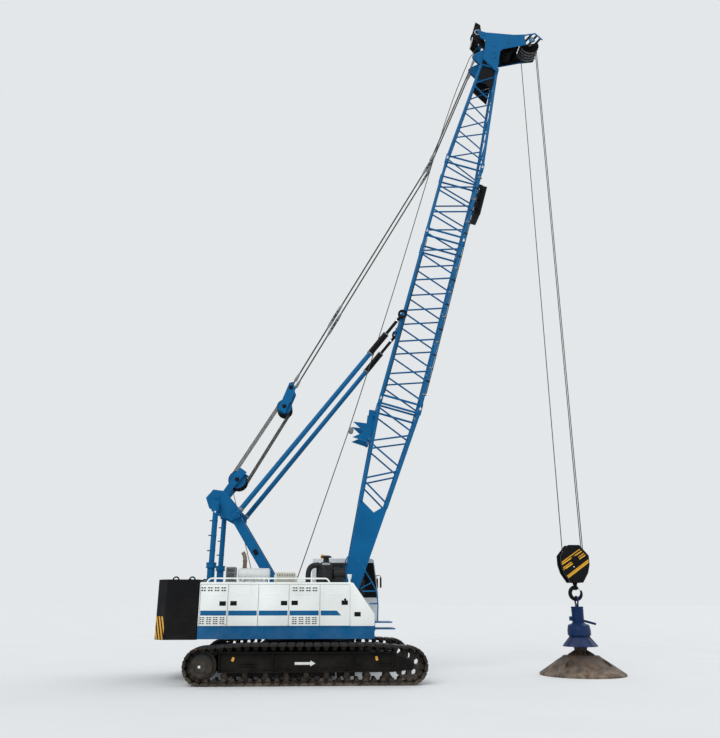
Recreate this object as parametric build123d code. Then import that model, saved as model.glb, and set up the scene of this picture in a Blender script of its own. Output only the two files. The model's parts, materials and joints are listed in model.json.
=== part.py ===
from build123d import *
import math
import os

# Dynamic compaction machine: a crawler base, a slewing upperworks with a lattice
# boom, and a drop hammer on a release hook. Millimetres, +X forward, +Y to the
# machine's left, +Z up. Pieces are written out from the slew axis at ground level;
# the frame's origin is the centre of the whole footprint.
SLEW_TO_ORIGIN_X = -2315

# Clearances
RUNNING_GAP = 0.4
DOOR_GAP = 12

# Tracks
TRACK_CENTRE_Y = 1880
SHOE_WIDTH = 760
TRACK_REAR_X = -2390
TRACK_FRONT_X = 2380
TRACK_END_RADIUS = 420
TRACK_THICKNESS = 90
TRACK_HUMP = 62
TRACK_HUMP_HALF = 1450
SHOE_COUNT = 60
SHOE_NOTCH = 30
SHOE_FLAT = 0.88

# Side frames
FRAME_HALF_WIDTH = 250
FRAME_REAR_X = -2010
FRAME_FRONT_X = 2010
AXLE_Z = TRACK_END_RADIUS
WHEEL_RADIUS = TRACK_END_RADIUS - TRACK_THICKNESS - RUNNING_GAP
WHEEL_WIDTH = 330
HUB_RADIUS = WHEEL_RADIUS * 0.79
GUIDE_HOLES = 5
FORK_THICKNESS = 45
AXLE_RADIUS = 60
LOWER_ROLLER_RADIUS = 95
UPPER_ROLLER_RADIUS = 45
ROLLER_WIDTH = 300
LOWER_ROLLER_COUNT = 9
LOWER_ROLLER_Z = TRACK_THICKNESS + RUNNING_GAP + LOWER_ROLLER_RADIUS
UPPER_ROLLER_Z = 2 * TRACK_END_RADIUS + TRACK_HUMP - TRACK_THICKNESS - RUNNING_GAP - UPPER_ROLLER_RADIUS
FRAME_BOTTOM_Z = LOWER_ROLLER_Z + LOWER_ROLLER_RADIUS + RUNNING_GAP
FRAME_TOP_Z = UPPER_ROLLER_Z - UPPER_ROLLER_RADIUS - RUNNING_GAP

# Carbody and slew ring
CARBODY_HALF_X = 1150
CARBODY_HALF_Y = 1050
CARBODY_BOTTOM_Z = 430
CARBODY_TOP_Z = 860
CROSS_BEAM_WIDTH = 420
CROSS_BEAM_TOP_Z = 760
SLEW_RING_RADIUS = 780
SLEW_RING_BORE = 560
DECK_BOTTOM_Z = 1020
TOW_EYE_RADIUS = 35
TOW_EYE_THICKNESS = 60
TOW_EYE_Z = 620
TOW_EYE_OUT = 80
TOW_EYE_REACH = 150
TOW_EYE_HALF_Y = 90

# Deck and skirts
DECK_REAR_X = -2620
DECK_FRONT_X = 1620
DECK_HALF_WIDTH = 1560
DECK_TOP_Z = 1265
SKIRT_BOTTOM_Z = 970
SKIRT_THICKNESS = 20
MAIN_BEAM_HALF = 640

# Counterweight slabs, from the bottom up
COUNTERWEIGHT_FRONT_X = -2650
COUNTERWEIGHT_REAR_X = -3670
COUNTERWEIGHT_HALF_WIDTH = 1500
COUNTERWEIGHT_CHAMFER = 250
COUNTERWEIGHT_LEVELS = [955, 1500, 1930, 2340]

# Housings along both sides
HOUSING_INNER_Y = 1040
HOUSING_TOP_Z = 2265
WALL = 40
SLANT_TOP_X = 1100
SLANT_FOOT_Z = 1540
RIGHT_SEAMS = [-2600, -1935, -1203, -464, 289, 1026]
LEFT_SEAMS = [-2600, -1935, -1203, -464]
LEFT_HOUSING_FRONT_X = 40
LOUVRE_HALF_WIDTH = 62
LOUVRE_PROUD = 11
LOUVRE_HEIGHT = 22
RIGHT_LOUVRE_XS = {1: (-2531, -2369, -2209, -2050), 4: (-321, -160, 1, 162)}
LOUVRE_LEVELS = (1322, 1367, 1412, 1457, 2080, 2140)

# Cab
CAB_REAR_X = 90
CAB_FRONT_X = 1900
CAB_OUTER_Y = DECK_HALF_WIDTH + 40
CAB_INNER_Y = CAB_OUTER_Y - 910
CAB_TOP_Z = 2960
CAB_WALL = 50
CAB_NOSE = 330
CAB_DOOR_REAR_X = 420
CAB_DOOR_FRONT_X = 1380
CAB_FLOOR_Z = DECK_TOP_Z + 25
CAB_BROW_Z = 2050
CAB_DOOR_LOW_Z = DECK_TOP_Z + 100
CAB_DOOR_HIGH_Z = CAB_TOP_Z - 110
WINDOW_LOW_Z = 1950
WINDOW_HIGH_Z = CAB_TOP_Z - 130
REAR_WINDOW_LOW_Z = 2020
WINDSCREEN_LOW_Z = 1500
WINDOW_EDGE = 110
GLASS = 8
CAB_HINGE_RADIUS = 14
CAB_HINGE_X = CAB_DOOR_REAR_X + 3
CAB_HINGE_Y = CAB_OUTER_Y + CAB_HINGE_RADIUS
CAB_HINGE_LEVELS = (1560, 2640)

# Rear hood across the deck
HOOD_REAR_X = -2320
HOOD_FRONT_X = -1330
HOOD_TOP_Z = 2235
HOOD_WALL = 30

# Winches on the deck: two main drums and the luffing drum
WINCH_ROWS = [
    # X, Z, drum radius, half width
    (-60, 1640, 230, 330),
    (-760, 1640, 230, 330),
    (-1090, 1520, 150, 330),
]

# Roof fittings, on the right housing
ROOF_HALF = (DECK_HALF_WIDTH - HOUSING_INNER_Y) / 2
ROOF_Y = -HOUSING_INNER_Y - ROOF_HALF + 10
COOLER_X = (-2030, -1790)
COOLER_FINS = 6
MUFFLER_X = (-1740, -960)
MUFFLER_Z = HOUSING_TOP_Z + 200
MUFFLER_RADIUS = ROOF_HALF * 0.577
STACK_X = -1600
STACK_RADIUS = 55
VENT_BOX_X = (-850, -290)
AIR_CLEANER_X = 430
RAIL_RADIUS = 22
RAIL_HEIGHT = 100
RAIL_POSTS = 5
LAMP_X = 1010

# Steps at the right front corner
STEP_INNER_Y = 700
STEP_OUTER_Y = 1500
STEP_ROWS = [
    # reach forward of the deck, Z
    (510, 1180),
    (440, 1330),
]

# Gantry
GANTRY_LEG_Y = 930
GANTRY_REAR_X = -2470
GANTRY_TOP = (-2050, 4080)
GANTRY_FOOT = (-300, DECK_TOP_Z + 80)
GANTRY_FRONT_LEG_Y = 640
GANTRY_HEAD_PIN = (-2450, 4450)
GANTRY_LEG_DEPTH = 160
GANTRY_PLATE = 40
HEAD_PIN_RADIUS = 55

# Boom, in its own frame: s along it from the foot pin, t towards its front face
BOOM_FOOT = (1000, 1800)
BOOM_ANGLE = 74.6
BOOM_HALF_WIDTH = 570
BOOM_HALF_DEPTH = 570
BUTT_END_S = 5500
LONG_INSERT_END_S = 11000
SHORT_INSERT_END_S = 13700
TIP_END_S = 17720
BUTT_PLATE_END_S = 2600
BUTT_BAYS = 5
LONG_BAYS = 10
SHORT_BAYS = 5
TIP_BAYS = 6
FENDER_S = (LONG_INSERT_END_S + 1200, SHORT_INSERT_END_S - 450)
REAR_BRACKET_S = BUTT_END_S - 900
TIP_BACK_T = -312
TIP_FRONT_T = 255
CHORD_RADIUS = 46
LACING_RADIUS = 24
TIP_LACING_RADIUS = 22
SPLICE_LUG = 160
BRACE_CLEAR = 2
BRACE_SEAM = (0.2, 1, 0.8)
LACING_GAP = 45
LACING_LEAD = 130
TIP_LACING_LEAD = 150
BUTT_LACING_LEAD = 60
FOOT_HALF_DEPTH = 150
FOOT_PIN_RADIUS = 50
FOOT_Y = 500
FOOT_PLATE = 70
LUG_PLATE = 40
TIP_CHORD_Y = 375
HEAD_INNER_Y = 437
HEAD_PLATE = 30
HEAD_SHEAVE_ST = (19250, 1130)
HEAD_SHEAVE_RADIUS = 276
HEAD_SHAFT_RADIUS = 60
STAY_LUG_ST = (18055, -568)
SHEAVE_ROWS_Y = (-180, -60, 60, 180)
HEAD_OUTLINE = [
    # s, t
    (19070, -770),
    (19060, -410),
    (19260, 490),
    (19400, 870),
    (19580, 1190),
    (19390, 1500),
    (19030, 1020),
    (18590, 270),
    (18480, 190),
    (17580, 260),
    (17980, -320),
    (18500, -350),
    (18760, -400),
    (18800, -570),
]

# Backstops
BACKSTOP_Y = 850
BACKSTOP_PIVOT = (-1920, 3970)
BACKSTOP_LUG_ST = (8030, -620)
BACKSTOP_PIN_RADIUS = 45
LUG_PIN_RADIUS = 42
STAY_PIN_RADIUS = 30
STAY_EYE_HALF = 22
DRIFT_ROOM = 32
BACKSTOP_TUBE_RADIUS = 68
BACKSTOP_ROD_RADIUS = 45
BACKSTOP_TUBE_END = 6450
BACKSTOP_SLEEVE_START = 5700

# Stays
STAY_Y = 330
TACKLE_LOW = (-2000, 4980)
TACKLE_HIGH = (-730, 7300)
TACKLE_SHEAVES_Y = (-240, -120, 0, 120, 240)
TACKLE_LOW_RADIUS = 230
TACKLE_HIGH_RADIUS = 200

# Hook, release device and hammer
HOOK_SHEAVE_Z = 2900
HOOK_BLOCK_BOTTOM_Z = 2310
HOOK_BLOCK_CHEEK = [
    # from the falls' centre, Z
    (-330, 2560),
    (-170, HOOK_BLOCK_BOTTOM_Z),
    (170, HOOK_BLOCK_BOTTOM_Z),
    (330, 2560),
    (390, 2780),
    (390, 3020),
    (150, 3300),
    (-150, 3300),
    (-390, 3020),
    (-390, 2780),
]
HOOK_CENTRE_Z = 2040
HOOK_RING = 155
HOOK_THICKNESS = 52
HOOK_OPENING = 70
SHACKLE_RING = 110
SHACKLE_RADIUS = 22
DEVICE_PROFILE = [
    # radius, Z, from the skirt up to the barrel's top
    (450, 700),
    (245, 940),
    (300, 985),
    (300, 1100),
    (280, 1215),
    (190, 1265),
    (155, 1290),
    (155, 1700),
]
HAMMER_RADIUS = 1100
HAMMER_RIM_Z = 45
HAMMER_TOP_RADIUS = 475
HAMMER_TOP_Z = 460
HAMMER_NECK_RADIUS = 165
HAMMER_NECK_Z = 515
HAMMER_VENTS = 4
HAMMER_VENT_REACH = 700
HAMMER_VENT_RADIUS = 110
ROPE_RADIUS = 13

ANGLE = math.radians(BOOM_ANGLE)
BOOM_PLANE = Plane(
    origin=(BOOM_FOOT[0], 0, BOOM_FOOT[1]),
    x_dir=(math.cos(ANGLE), 0, math.sin(ANGLE)),
    z_dir=(math.sin(ANGLE), 0, -math.cos(ANGLE)),
)


def block(x0, x1, y0, y1, z0, z1):
    """A box between two corners."""
    size = (abs(x1 - x0), abs(y1 - y0), abs(z1 - z0))
    centre = ((x0 + x1) / 2, (y0 + y1) / 2, (z0 + z1) / 2)
    return Pos(*centre) * Box(*size)


def rod(start, end, radius, seam=None):
    """A round bar from one point to another. Its seam can be turned away from what meets it."""
    start = Vector(start)
    reach = Vector(end) - start
    if seam is None:
        plane = Plane(origin=start, z_dir=reach)
    else:
        along = reach.normalized()
        seam = Vector(seam)
        plane = Plane(origin=start, x_dir=seam - along * seam.dot(along), z_dir=reach)
    return Solid.make_cylinder(radius, reach.length, plane)


def bar(start, end, width, depth):
    """A rectangular bar in the XZ plane's direction, width across it and depth along Y."""
    start = Vector(*start)
    reach = Vector(*end) - start
    plane = Plane(origin=start, x_dir=(0, 1, 0), z_dir=reach)
    section = plane * Rectangle(depth, width)
    return extrude(section, reach.length)


def slab(points, y0, y1):
    """A plate with an outline in XZ, between two Y planes."""
    outline = Polyline(*[(x, y0, z) for x, z in points], close=True)
    return extrude(make_face(outline), amount=abs(y1 - y0), dir=(0, 1 if y1 > y0 else -1, 0))


def joined(shapes):
    """One solid from shapes that meet."""
    shapes = list(shapes)
    return shapes[0].fuse(*shapes[1:])


def cut_for(shape, *neighbours):
    """A piece with its neighbours' room taken out, so that they meet face to face."""
    for neighbour in neighbours:
        for solid in neighbour if isinstance(neighbour, list) else [neighbour]:
            shape = shape - solid
    return shape


def both_sides(make):
    """The same piece on the right and the left."""
    return [make(-1), make(1)]


def boom_point(s, t):
    """World X and Z of a point given along and across the boom."""
    x = BOOM_FOOT[0] + s * math.cos(ANGLE) + t * math.sin(ANGLE)
    z = BOOM_FOOT[1] + s * math.sin(ANGLE) - t * math.cos(ANGLE)
    return (x, z)


def on_boom(shape):
    """Place a piece drawn as (s, y, t) on the boom."""
    return BOOM_PLANE.location * shape


# Places that follow from the boom
HEAD_SHEAVE_XZ = boom_point(*HEAD_SHEAVE_ST)
FALL_X = HEAD_SHEAVE_XZ[0]
FALL_TOP_Z = HEAD_SHEAVE_XZ[1]
STAY_LUG_XZ = boom_point(*STAY_LUG_ST)
BACKSTOP_LUG_XZ = boom_point(*BACKSTOP_LUG_ST)
BACKSTOP_LENGTH = math.dist(BACKSTOP_PIVOT, BACKSTOP_LUG_XZ)
BACKSTOP_DIR = [(b - a) / BACKSTOP_LENGTH for a, b in zip(BACKSTOP_PIVOT, BACKSTOP_LUG_XZ)]
PENDANT_POINTS = [(-590, 7650), (600, 9800), (3534, 15071), STAY_LUG_XZ]
FALL_ROWS = [
    # X, Y
    (FALL_X - HEAD_SHEAVE_RADIUS, 0),
    (FALL_X + HEAD_SHEAVE_RADIUS, -60),
    (FALL_X + HEAD_SHEAVE_RADIUS, 60),
]

os.makedirs("parts", exist_ok=True)


def write(name, shapes):
    """Write one node, moved from the slew axis to the frame's origin."""
    shapes = shapes if isinstance(shapes, list) else [shapes]
    solids = []
    for shape in shapes:
        solids.extend(shape.solids())
    node = solids[0] if len(solids) == 1 else Compound(solids)
    export_step(Pos(SLEW_TO_ORIGIN_X, 0, 0) * node, "parts/" + name + ".step")


# Tracks: one loop each, with its shoes in the outline
def track_loop():
    """Straight and curved stretches of the loop, each with its length and a place on it."""
    radius = TRACK_END_RADIUS
    top_z = 2 * TRACK_END_RADIUS
    hump_z = top_z + TRACK_HUMP
    rear = (TRACK_REAR_X, AXLE_Z)
    front = (TRACK_FRONT_X, AXLE_Z)

    def straight(a, b):
        length = math.dist(a, b)
        normal = (-(b[1] - a[1]) / length, (b[0] - a[0]) / length)

        def place(u, out):
            x = a[0] + (b[0] - a[0]) * u + normal[0] * -out
            z = a[1] + (b[1] - a[1]) * u + normal[1] * -out
            return (x, z)

        return (length, place)

    def curve(centre, first, last):
        def place(u, out):
            angle = math.radians(first + (last - first) * u)
            reach = radius + out
            return (centre[0] + reach * math.cos(angle), centre[1] + reach * math.sin(angle))

        return (radius * math.radians(abs(last - first)), place)

    return [
        straight((TRACK_REAR_X, 0), (TRACK_FRONT_X, 0)),
        curve(front, -90, 90),
        straight((TRACK_FRONT_X, top_z), (TRACK_HUMP_HALF, hump_z)),
        straight((TRACK_HUMP_HALF, hump_z), (-TRACK_HUMP_HALF, hump_z)),
        straight((-TRACK_HUMP_HALF, hump_z), (TRACK_REAR_X, top_z)),
        curve(rear, 90, 270),
    ]


def loop_point(stretches, distance, out):
    """A point at a distance along the loop, moved outward."""
    for length, place in stretches:
        if distance <= length:
            return place(distance / length, out)
        distance -= length
    return stretches[0][1](0, out)


def track(side):
    outer = track_loop()
    total = sum(length for length, place in outer)
    pitch = total / SHOE_COUNT
    points = []
    for shoe in range(SHOE_COUNT):
        middle = (shoe + 0.5) * pitch
        points.append(loop_point(outer, shoe * pitch, -SHOE_NOTCH))
        points.append(loop_point(outer, middle - pitch * SHOE_FLAT / 2, 0))
        points.append(loop_point(outer, middle + pitch * SHOE_FLAT / 2, 0))
    y0 = side * TRACK_CENTRE_Y - SHOE_WIDTH / 2
    y1 = side * TRACK_CENTRE_Y + SHOE_WIDTH / 2
    radius = TRACK_END_RADIUS - TRACK_THICKNESS
    top_z = 2 * TRACK_END_RADIUS - TRACK_THICKNESS
    middle = [
        (TRACK_REAR_X, TRACK_THICKNESS),
        (TRACK_FRONT_X, TRACK_THICKNESS),
        (TRACK_FRONT_X, top_z),
        (TRACK_HUMP_HALF, top_z + TRACK_HUMP),
        (-TRACK_HUMP_HALF, top_z + TRACK_HUMP),
        (TRACK_REAR_X, top_z),
    ]
    loop = slab(points, y0, y1) - slab(middle, y0 - 1, y1 + 1)
    for x in (TRACK_REAR_X, TRACK_FRONT_X):
        loop = loop - rod((x, y0 - 1, AXLE_Z), (x, y1 + 1, AXLE_Z), radius)
    return loop


write("track_right", track(-1))
write("track_left", track(1))


# Side frames, with forks for the front wheels
def side_frame(side):
    y0 = side * TRACK_CENTRE_Y - FRAME_HALF_WIDTH
    y1 = side * TRACK_CENTRE_Y + FRAME_HALF_WIDTH
    shapes = [block(FRAME_REAR_X, FRAME_FRONT_X, y0, y1, FRAME_BOTTOM_Z, FRAME_TOP_Z)]
    for y in (y0, y1 - FORK_THICKNESS):
        fork = [
            (FRAME_FRONT_X - 10, FRAME_BOTTOM_Z),
            (TRACK_FRONT_X + 80, AXLE_Z - 90),
            (TRACK_FRONT_X + 80, AXLE_Z + 90),
            (FRAME_FRONT_X - 10, FRAME_TOP_Z - 60),
        ]
        shapes.append(slab(fork, y, y + FORK_THICKNESS))
    inner_y = y1 - FORK_THICKNESS if side < 0 else y0
    carrier = [
        (FRAME_REAR_X + 10, FRAME_BOTTOM_Z),
        (TRACK_REAR_X - 120, AXLE_Z - 110),
        (TRACK_REAR_X - 120, AXLE_Z + 110),
        (FRAME_REAR_X + 10, FRAME_TOP_Z - 60),
    ]
    shapes.append(slab(carrier, inner_y, inner_y + FORK_THICKNESS))
    return joined(shapes)


write("side_frames", both_sides(side_frame))


# Drive wheels at the rear, guide wheels at the front, and the rollers
def drive_wheel(side):
    y = side * TRACK_CENTRE_Y
    half = WHEEL_WIDTH / 2
    wheel = rod((TRACK_REAR_X, y - half, AXLE_Z), (TRACK_REAR_X, y + half, AXLE_Z), WHEEL_RADIUS)
    outer = y + side * (FRAME_HALF_WIDTH + 30)
    inner = y - side * (FRAME_HALF_WIDTH - FORK_THICKNESS)
    hub = rod((TRACK_REAR_X, inner, AXLE_Z), (TRACK_REAR_X, outer, AXLE_Z), HUB_RADIUS)
    return joined([wheel, hub])


def guide_wheel(side):
    y = side * TRACK_CENTRE_Y
    half = WHEEL_WIDTH / 2
    reach = FRAME_HALF_WIDTH - FORK_THICKNESS
    wheel = rod((TRACK_FRONT_X, y - half, AXLE_Z), (TRACK_FRONT_X, y + half, AXLE_Z), WHEEL_RADIUS)
    axle = rod((TRACK_FRONT_X, y - reach, AXLE_Z), (TRACK_FRONT_X, y + reach, AXLE_Z), AXLE_RADIUS)
    hole_reach = WHEEL_RADIUS * 0.6
    shape = joined([wheel, axle])
    for index in range(GUIDE_HOLES):
        angle = math.radians(360 / GUIDE_HOLES * index + 20)
        x = TRACK_FRONT_X + hole_reach * math.cos(angle)
        z = AXLE_Z + hole_reach * math.sin(angle)
        shape = shape - rod((x, y - WHEEL_WIDTH, z), (x, y + WHEEL_WIDTH, z), WHEEL_RADIUS * 0.2)
    return shape


def rollers(side):
    y = side * TRACK_CENTRE_Y
    half = ROLLER_WIDTH / 2
    shapes = []
    step = (FRAME_FRONT_X - FRAME_REAR_X - 300) / (LOWER_ROLLER_COUNT - 1)
    for index in range(LOWER_ROLLER_COUNT):
        x = FRAME_REAR_X + 150 + index * step
        shapes.append(rod((x, y - half, LOWER_ROLLER_Z), (x, y + half, LOWER_ROLLER_Z), LOWER_ROLLER_RADIUS))
    for x in (-TRACK_HUMP_HALF + 60, TRACK_HUMP_HALF - 60):
        shapes.append(rod((x, y - half, UPPER_ROLLER_Z), (x, y + half, UPPER_ROLLER_Z), UPPER_ROLLER_RADIUS))
    return shapes


write("drive_wheels", both_sides(drive_wheel))
write("guide_wheels", both_sides(guide_wheel))
write("track_rollers", rollers(-1) + rollers(1))


# Carbody with its cross beams, towing eyes and the fixed half of the slew ring
def carbody():
    x = CARBODY_HALF_X
    y = CARBODY_HALF_Y
    shapes = [block(-x, x, -y, y, CARBODY_BOTTOM_Z, CARBODY_TOP_Z)]
    reach = TRACK_CENTRE_Y - FRAME_HALF_WIDTH
    for x in (-CARBODY_HALF_X, CARBODY_HALF_X - CROSS_BEAM_WIDTH):
        shapes.append(block(x, x + CROSS_BEAM_WIDTH, -reach, reach, CARBODY_BOTTOM_Z, CROSS_BEAM_TOP_Z))
    shapes.append(rod((0, 0, CARBODY_TOP_Z - 5), (0, 0, CARBODY_TOP_Z + 70), SLEW_RING_RADIUS + 40))
    for side in (-1, 1):
        x = side * CARBODY_HALF_X
        y = TOW_EYE_HALF_Y
        low = TOW_EYE_Z - TOW_EYE_THICKNESS / 2
        high = TOW_EYE_Z + TOW_EYE_THICKNESS / 2
        shapes.append(block(x - side * 5, x + side * TOW_EYE_REACH, -y, y, low, high))
    body = joined(shapes)
    for side in (-1, 1):
        x = side * (CARBODY_HALF_X + TOW_EYE_OUT)
        reach = TOW_EYE_THICKNESS
        body = body - rod((x, 0, TOW_EYE_Z - reach), (x, 0, TOW_EYE_Z + reach), TOW_EYE_RADIUS)
    return body


def slew_ring():
    low = CARBODY_TOP_Z + 70
    high = DECK_BOTTOM_Z - RUNNING_GAP
    ring = rod((0, 0, low), (0, 0, high), SLEW_RING_RADIUS)
    return ring - rod((0, 0, low - 1), (0, 0, high + 1), SLEW_RING_BORE)


write("carbody", carbody())
write("slew_ring", slew_ring())


# Deck: the main beam with the boom foot lugs, and a tray under each housing
def deck_frame():
    half = MAIN_BEAM_HALF
    shapes = [
        block(DECK_REAR_X, DECK_FRONT_X, -half, half, DECK_BOTTOM_Z, DECK_TOP_Z),
        block(DECK_REAR_X, DECK_FRONT_X, -HOUSING_INNER_Y, HOUSING_INNER_Y, DECK_TOP_Z - 60, DECK_TOP_Z),
        block(COUNTERWEIGHT_FRONT_X, DECK_REAR_X, -half, half, DECK_BOTTOM_Z, DECK_TOP_Z),
    ]
    x, z = BOOM_FOOT
    lug = [(x - 330, DECK_TOP_Z - 5), (x + 330, DECK_TOP_Z - 5), (x + 110, z + 110), (x - 110, z + 110)]
    for y in (-FOOT_Y, FOOT_Y):
        inner = FOOT_PLATE / 2 + 4
        for a in (y - inner - LUG_PLATE, y + inner):
            shapes.append(slab(lug, a, a + LUG_PLATE))
    body = joined(shapes)
    bore = FOOT_PIN_RADIUS + RUNNING_GAP
    return body - rod((x, -MAIN_BEAM_HALF, z), (x, MAIN_BEAM_HALF, z), bore)


def deck_side(side):
    outer = side * DECK_HALF_WIDTH
    inner = side * HOUSING_INNER_Y
    edge = outer - side * SKIRT_THICKNESS
    shapes = [
        block(DECK_REAR_X, DECK_FRONT_X, inner, outer, DECK_TOP_Z - 60, DECK_TOP_Z),
        block(DECK_REAR_X, DECK_FRONT_X, edge, outer, SKIRT_BOTTOM_Z, DECK_TOP_Z),
    ]
    for x in (DECK_REAR_X, DECK_FRONT_X - SKIRT_THICKNESS):
        shapes.append(block(x, x + SKIRT_THICKNESS, inner, outer, SKIRT_BOTTOM_Z, DECK_TOP_Z))
    return joined(shapes)


deck = deck_frame()
write("deck_frame", deck)
write("deck_sides", both_sides(deck_side))


# Counterweight slabs with chamfered rear corners
def counterweight(level):
    low = COUNTERWEIGHT_LEVELS[level]
    high = COUNTERWEIGHT_LEVELS[level + 1] - RUNNING_GAP
    half = COUNTERWEIGHT_HALF_WIDTH
    cut = COUNTERWEIGHT_CHAMFER
    rear = COUNTERWEIGHT_REAR_X
    outline = [
        (COUNTERWEIGHT_FRONT_X, -half),
        (COUNTERWEIGHT_FRONT_X, half),
        (rear + cut, half),
        (rear, half - cut),
        (rear, -half + cut),
        (rear + cut, -half),
    ]
    face = make_face(Polyline(*[(x, y, low) for x, y in outline], close=True))
    return extrude(face, amount=high - low, dir=(0, 0, 1))


write("counterweight", [counterweight(level) for level in range(len(COUNTERWEIGHT_LEVELS) - 1)])


# Housings: roof, inner and end walls and posts, with hinged doors along the outside
def housing_right():
    outer = -DECK_HALF_WIDTH
    inner = -HOUSING_INNER_Y
    roof_low = HOUSING_TOP_Z - WALL
    last = RIGHT_SEAMS[-1]
    slant_foot = (DECK_FRONT_X, SLANT_FOOT_Z)
    front = [
        (last, DECK_TOP_Z),
        (DECK_FRONT_X, DECK_TOP_Z),
        slant_foot,
        (SLANT_TOP_X, HOUSING_TOP_Z),
        (last, HOUSING_TOP_Z),
    ]
    cap = [
        slant_foot,
        (SLANT_TOP_X, HOUSING_TOP_Z),
        (SLANT_TOP_X - WALL, HOUSING_TOP_Z),
        (DECK_FRONT_X - WALL, SLANT_FOOT_Z),
        (DECK_FRONT_X - WALL, DECK_TOP_Z),
        (DECK_FRONT_X, DECK_TOP_Z),
    ]
    shapes = [
        block(DECK_REAR_X, SLANT_TOP_X, outer, inner, roof_low, HOUSING_TOP_Z),
        block(DECK_REAR_X, DECK_REAR_X + 15, outer, inner, DECK_TOP_Z, HOUSING_TOP_Z),
        slab(front, outer, outer + WALL),
        slab(front, inner - WALL, inner),
        block(DECK_REAR_X, last, inner - WALL, inner, DECK_TOP_Z, HOUSING_TOP_Z),
        slab(cap, outer, inner),
    ]
    post = outer + WALL + RUNNING_GAP
    for x in RIGHT_SEAMS[1:-1]:
        shapes.append(block(x - 30, x + 30, post, outer + WALL + 60, DECK_TOP_Z, HOUSING_TOP_Z))
    return joined(shapes)


def housing_left():
    outer = DECK_HALF_WIDTH
    inner = HOUSING_INNER_Y
    front_x = LEFT_HOUSING_FRONT_X
    last = LEFT_SEAMS[-1]
    shapes = [
        block(DECK_REAR_X, front_x, inner, outer, HOUSING_TOP_Z - WALL, HOUSING_TOP_Z),
        block(DECK_REAR_X, DECK_REAR_X + 15, inner, outer, DECK_TOP_Z, HOUSING_TOP_Z),
        block(last, front_x, outer - WALL, outer, DECK_TOP_Z, HOUSING_TOP_Z),
        block(DECK_REAR_X, front_x, inner, inner + WALL, DECK_TOP_Z, HOUSING_TOP_Z),
        block(front_x - WALL, front_x, inner, outer, DECK_TOP_Z, HOUSING_TOP_Z),
    ]
    post = outer - WALL - RUNNING_GAP
    for x in LEFT_SEAMS[1:-1]:
        shapes.append(block(x - 30, x + 30, outer - WALL - 60, post, DECK_TOP_Z, HOUSING_TOP_Z))
    return joined(shapes)


def door(side, rear_x, front_x, louvre_xs=()):
    outer = side * DECK_HALF_WIDTH
    inner = outer - side * WALL
    half = DOOR_GAP / 2
    low = DECK_TOP_Z + half
    high = HOUSING_TOP_Z - WALL - half
    panel = block(rear_x + half, front_x - half, inner, outer, low, high)
    lip = outer + side * LOUVRE_PROUD
    shapes = [panel]
    for x in louvre_xs:
        for z in LOUVRE_LEVELS:
            x0 = x - LOUVRE_HALF_WIDTH
            x1 = x + LOUVRE_HALF_WIDTH
            shapes.append(block(x0, x1, outer - side * 5, lip, z, z + LOUVRE_HEIGHT))
    return joined(shapes) if louvre_xs else panel


write("housing_right", housing_right())
write("housing_left", housing_left())
for index in range(len(RIGHT_SEAMS) - 1):
    number = index + 1
    panel = door(-1, RIGHT_SEAMS[index], RIGHT_SEAMS[number], RIGHT_LOUVRE_XS.get(number, ()))
    write("door_right_%d" % number, panel)
for index in range(len(LEFT_SEAMS) - 1):
    write("door_left_%d" % (index + 1), door(1, LEFT_SEAMS[index], LEFT_SEAMS[index + 1]))


# Rear hood across the deck, with the engine under it
def engine_hood():
    inner = HOUSING_INNER_Y
    hood = block(HOOD_REAR_X, HOOD_FRONT_X, -inner, inner, DECK_TOP_Z, HOOD_TOP_Z)
    rear = HOOD_REAR_X + HOOD_WALL
    front = HOOD_FRONT_X - HOOD_WALL
    return hood - block(rear, front, -inner - 1, inner + 1, DECK_TOP_Z - 1, HOOD_TOP_Z - HOOD_WALL)


write("engine_hood", engine_hood())
write("engine_block", block(HOOD_REAR_X + 180, HOOD_FRONT_X - 180, -850, 650, DECK_TOP_Z, 2050))


# Winches
def winch(x, z, radius, half):
    flange = radius + 60
    shapes = [rod((x, -half - 80, z), (x, half + 80, z), radius)]
    for y in (-half, half):
        shapes.append(rod((x, y - 12, z), (x, y + 12, z), flange))
    for y in (-half - 60, half + 40):
        cheek = [(x - 130, DECK_TOP_Z), (x + 130, DECK_TOP_Z), (x + 60, z + 60), (x - 60, z + 60)]
        shapes.append(slab(cheek, y, y + 20))
    return joined(shapes)


write("winches", [winch(*row) for row in WINCH_ROWS])


# Cab: a hollow shell with cut windows, its glass, door and seat
def cab_outline(inset):
    low = CAB_FLOOR_Z + inset
    return [
        (CAB_REAR_X + inset, low),
        (CAB_FRONT_X - inset, low),
        (CAB_FRONT_X - inset, CAB_BROW_Z),
        (CAB_FRONT_X - CAB_NOSE * 0.35 - inset, CAB_TOP_Z - 40 - inset / 2),
        (CAB_FRONT_X - CAB_NOSE * 0.5 - inset, CAB_TOP_Z - inset),
        (CAB_REAR_X + inset, CAB_TOP_Z - inset),
    ]


def cab_shell():
    inner = CAB_INNER_Y
    outer = CAB_OUTER_Y
    wall = CAB_WALL
    edge = WINDOW_EDGE
    rear = CAB_REAR_X
    front = CAB_FRONT_X
    door = (CAB_DOOR_REAR_X, CAB_DOOR_FRONT_X)
    openings = [
        block(rear + edge, front - 400, inner - 1, inner + wall + 1, WINDOW_LOW_Z, WINDOW_HIGH_Z),
        block(rear - 1, rear + wall + 1, inner + edge, outer - edge, REAR_WINDOW_LOW_Z, WINDOW_HIGH_Z),
        block(front - 300, front + 1, inner + 80, outer - 80, WINDSCREEN_LOW_Z, CAB_TOP_Z - 160),
        block(*door, outer - wall - 1, outer + 1, CAB_DOOR_LOW_Z, CAB_DOOR_HIGH_Z),
    ]
    shell = slab(cab_outline(0), inner, outer) - slab(cab_outline(wall), inner + wall, outer - wall)
    for opening in openings:
        shell = shell - opening
    return shell


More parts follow.
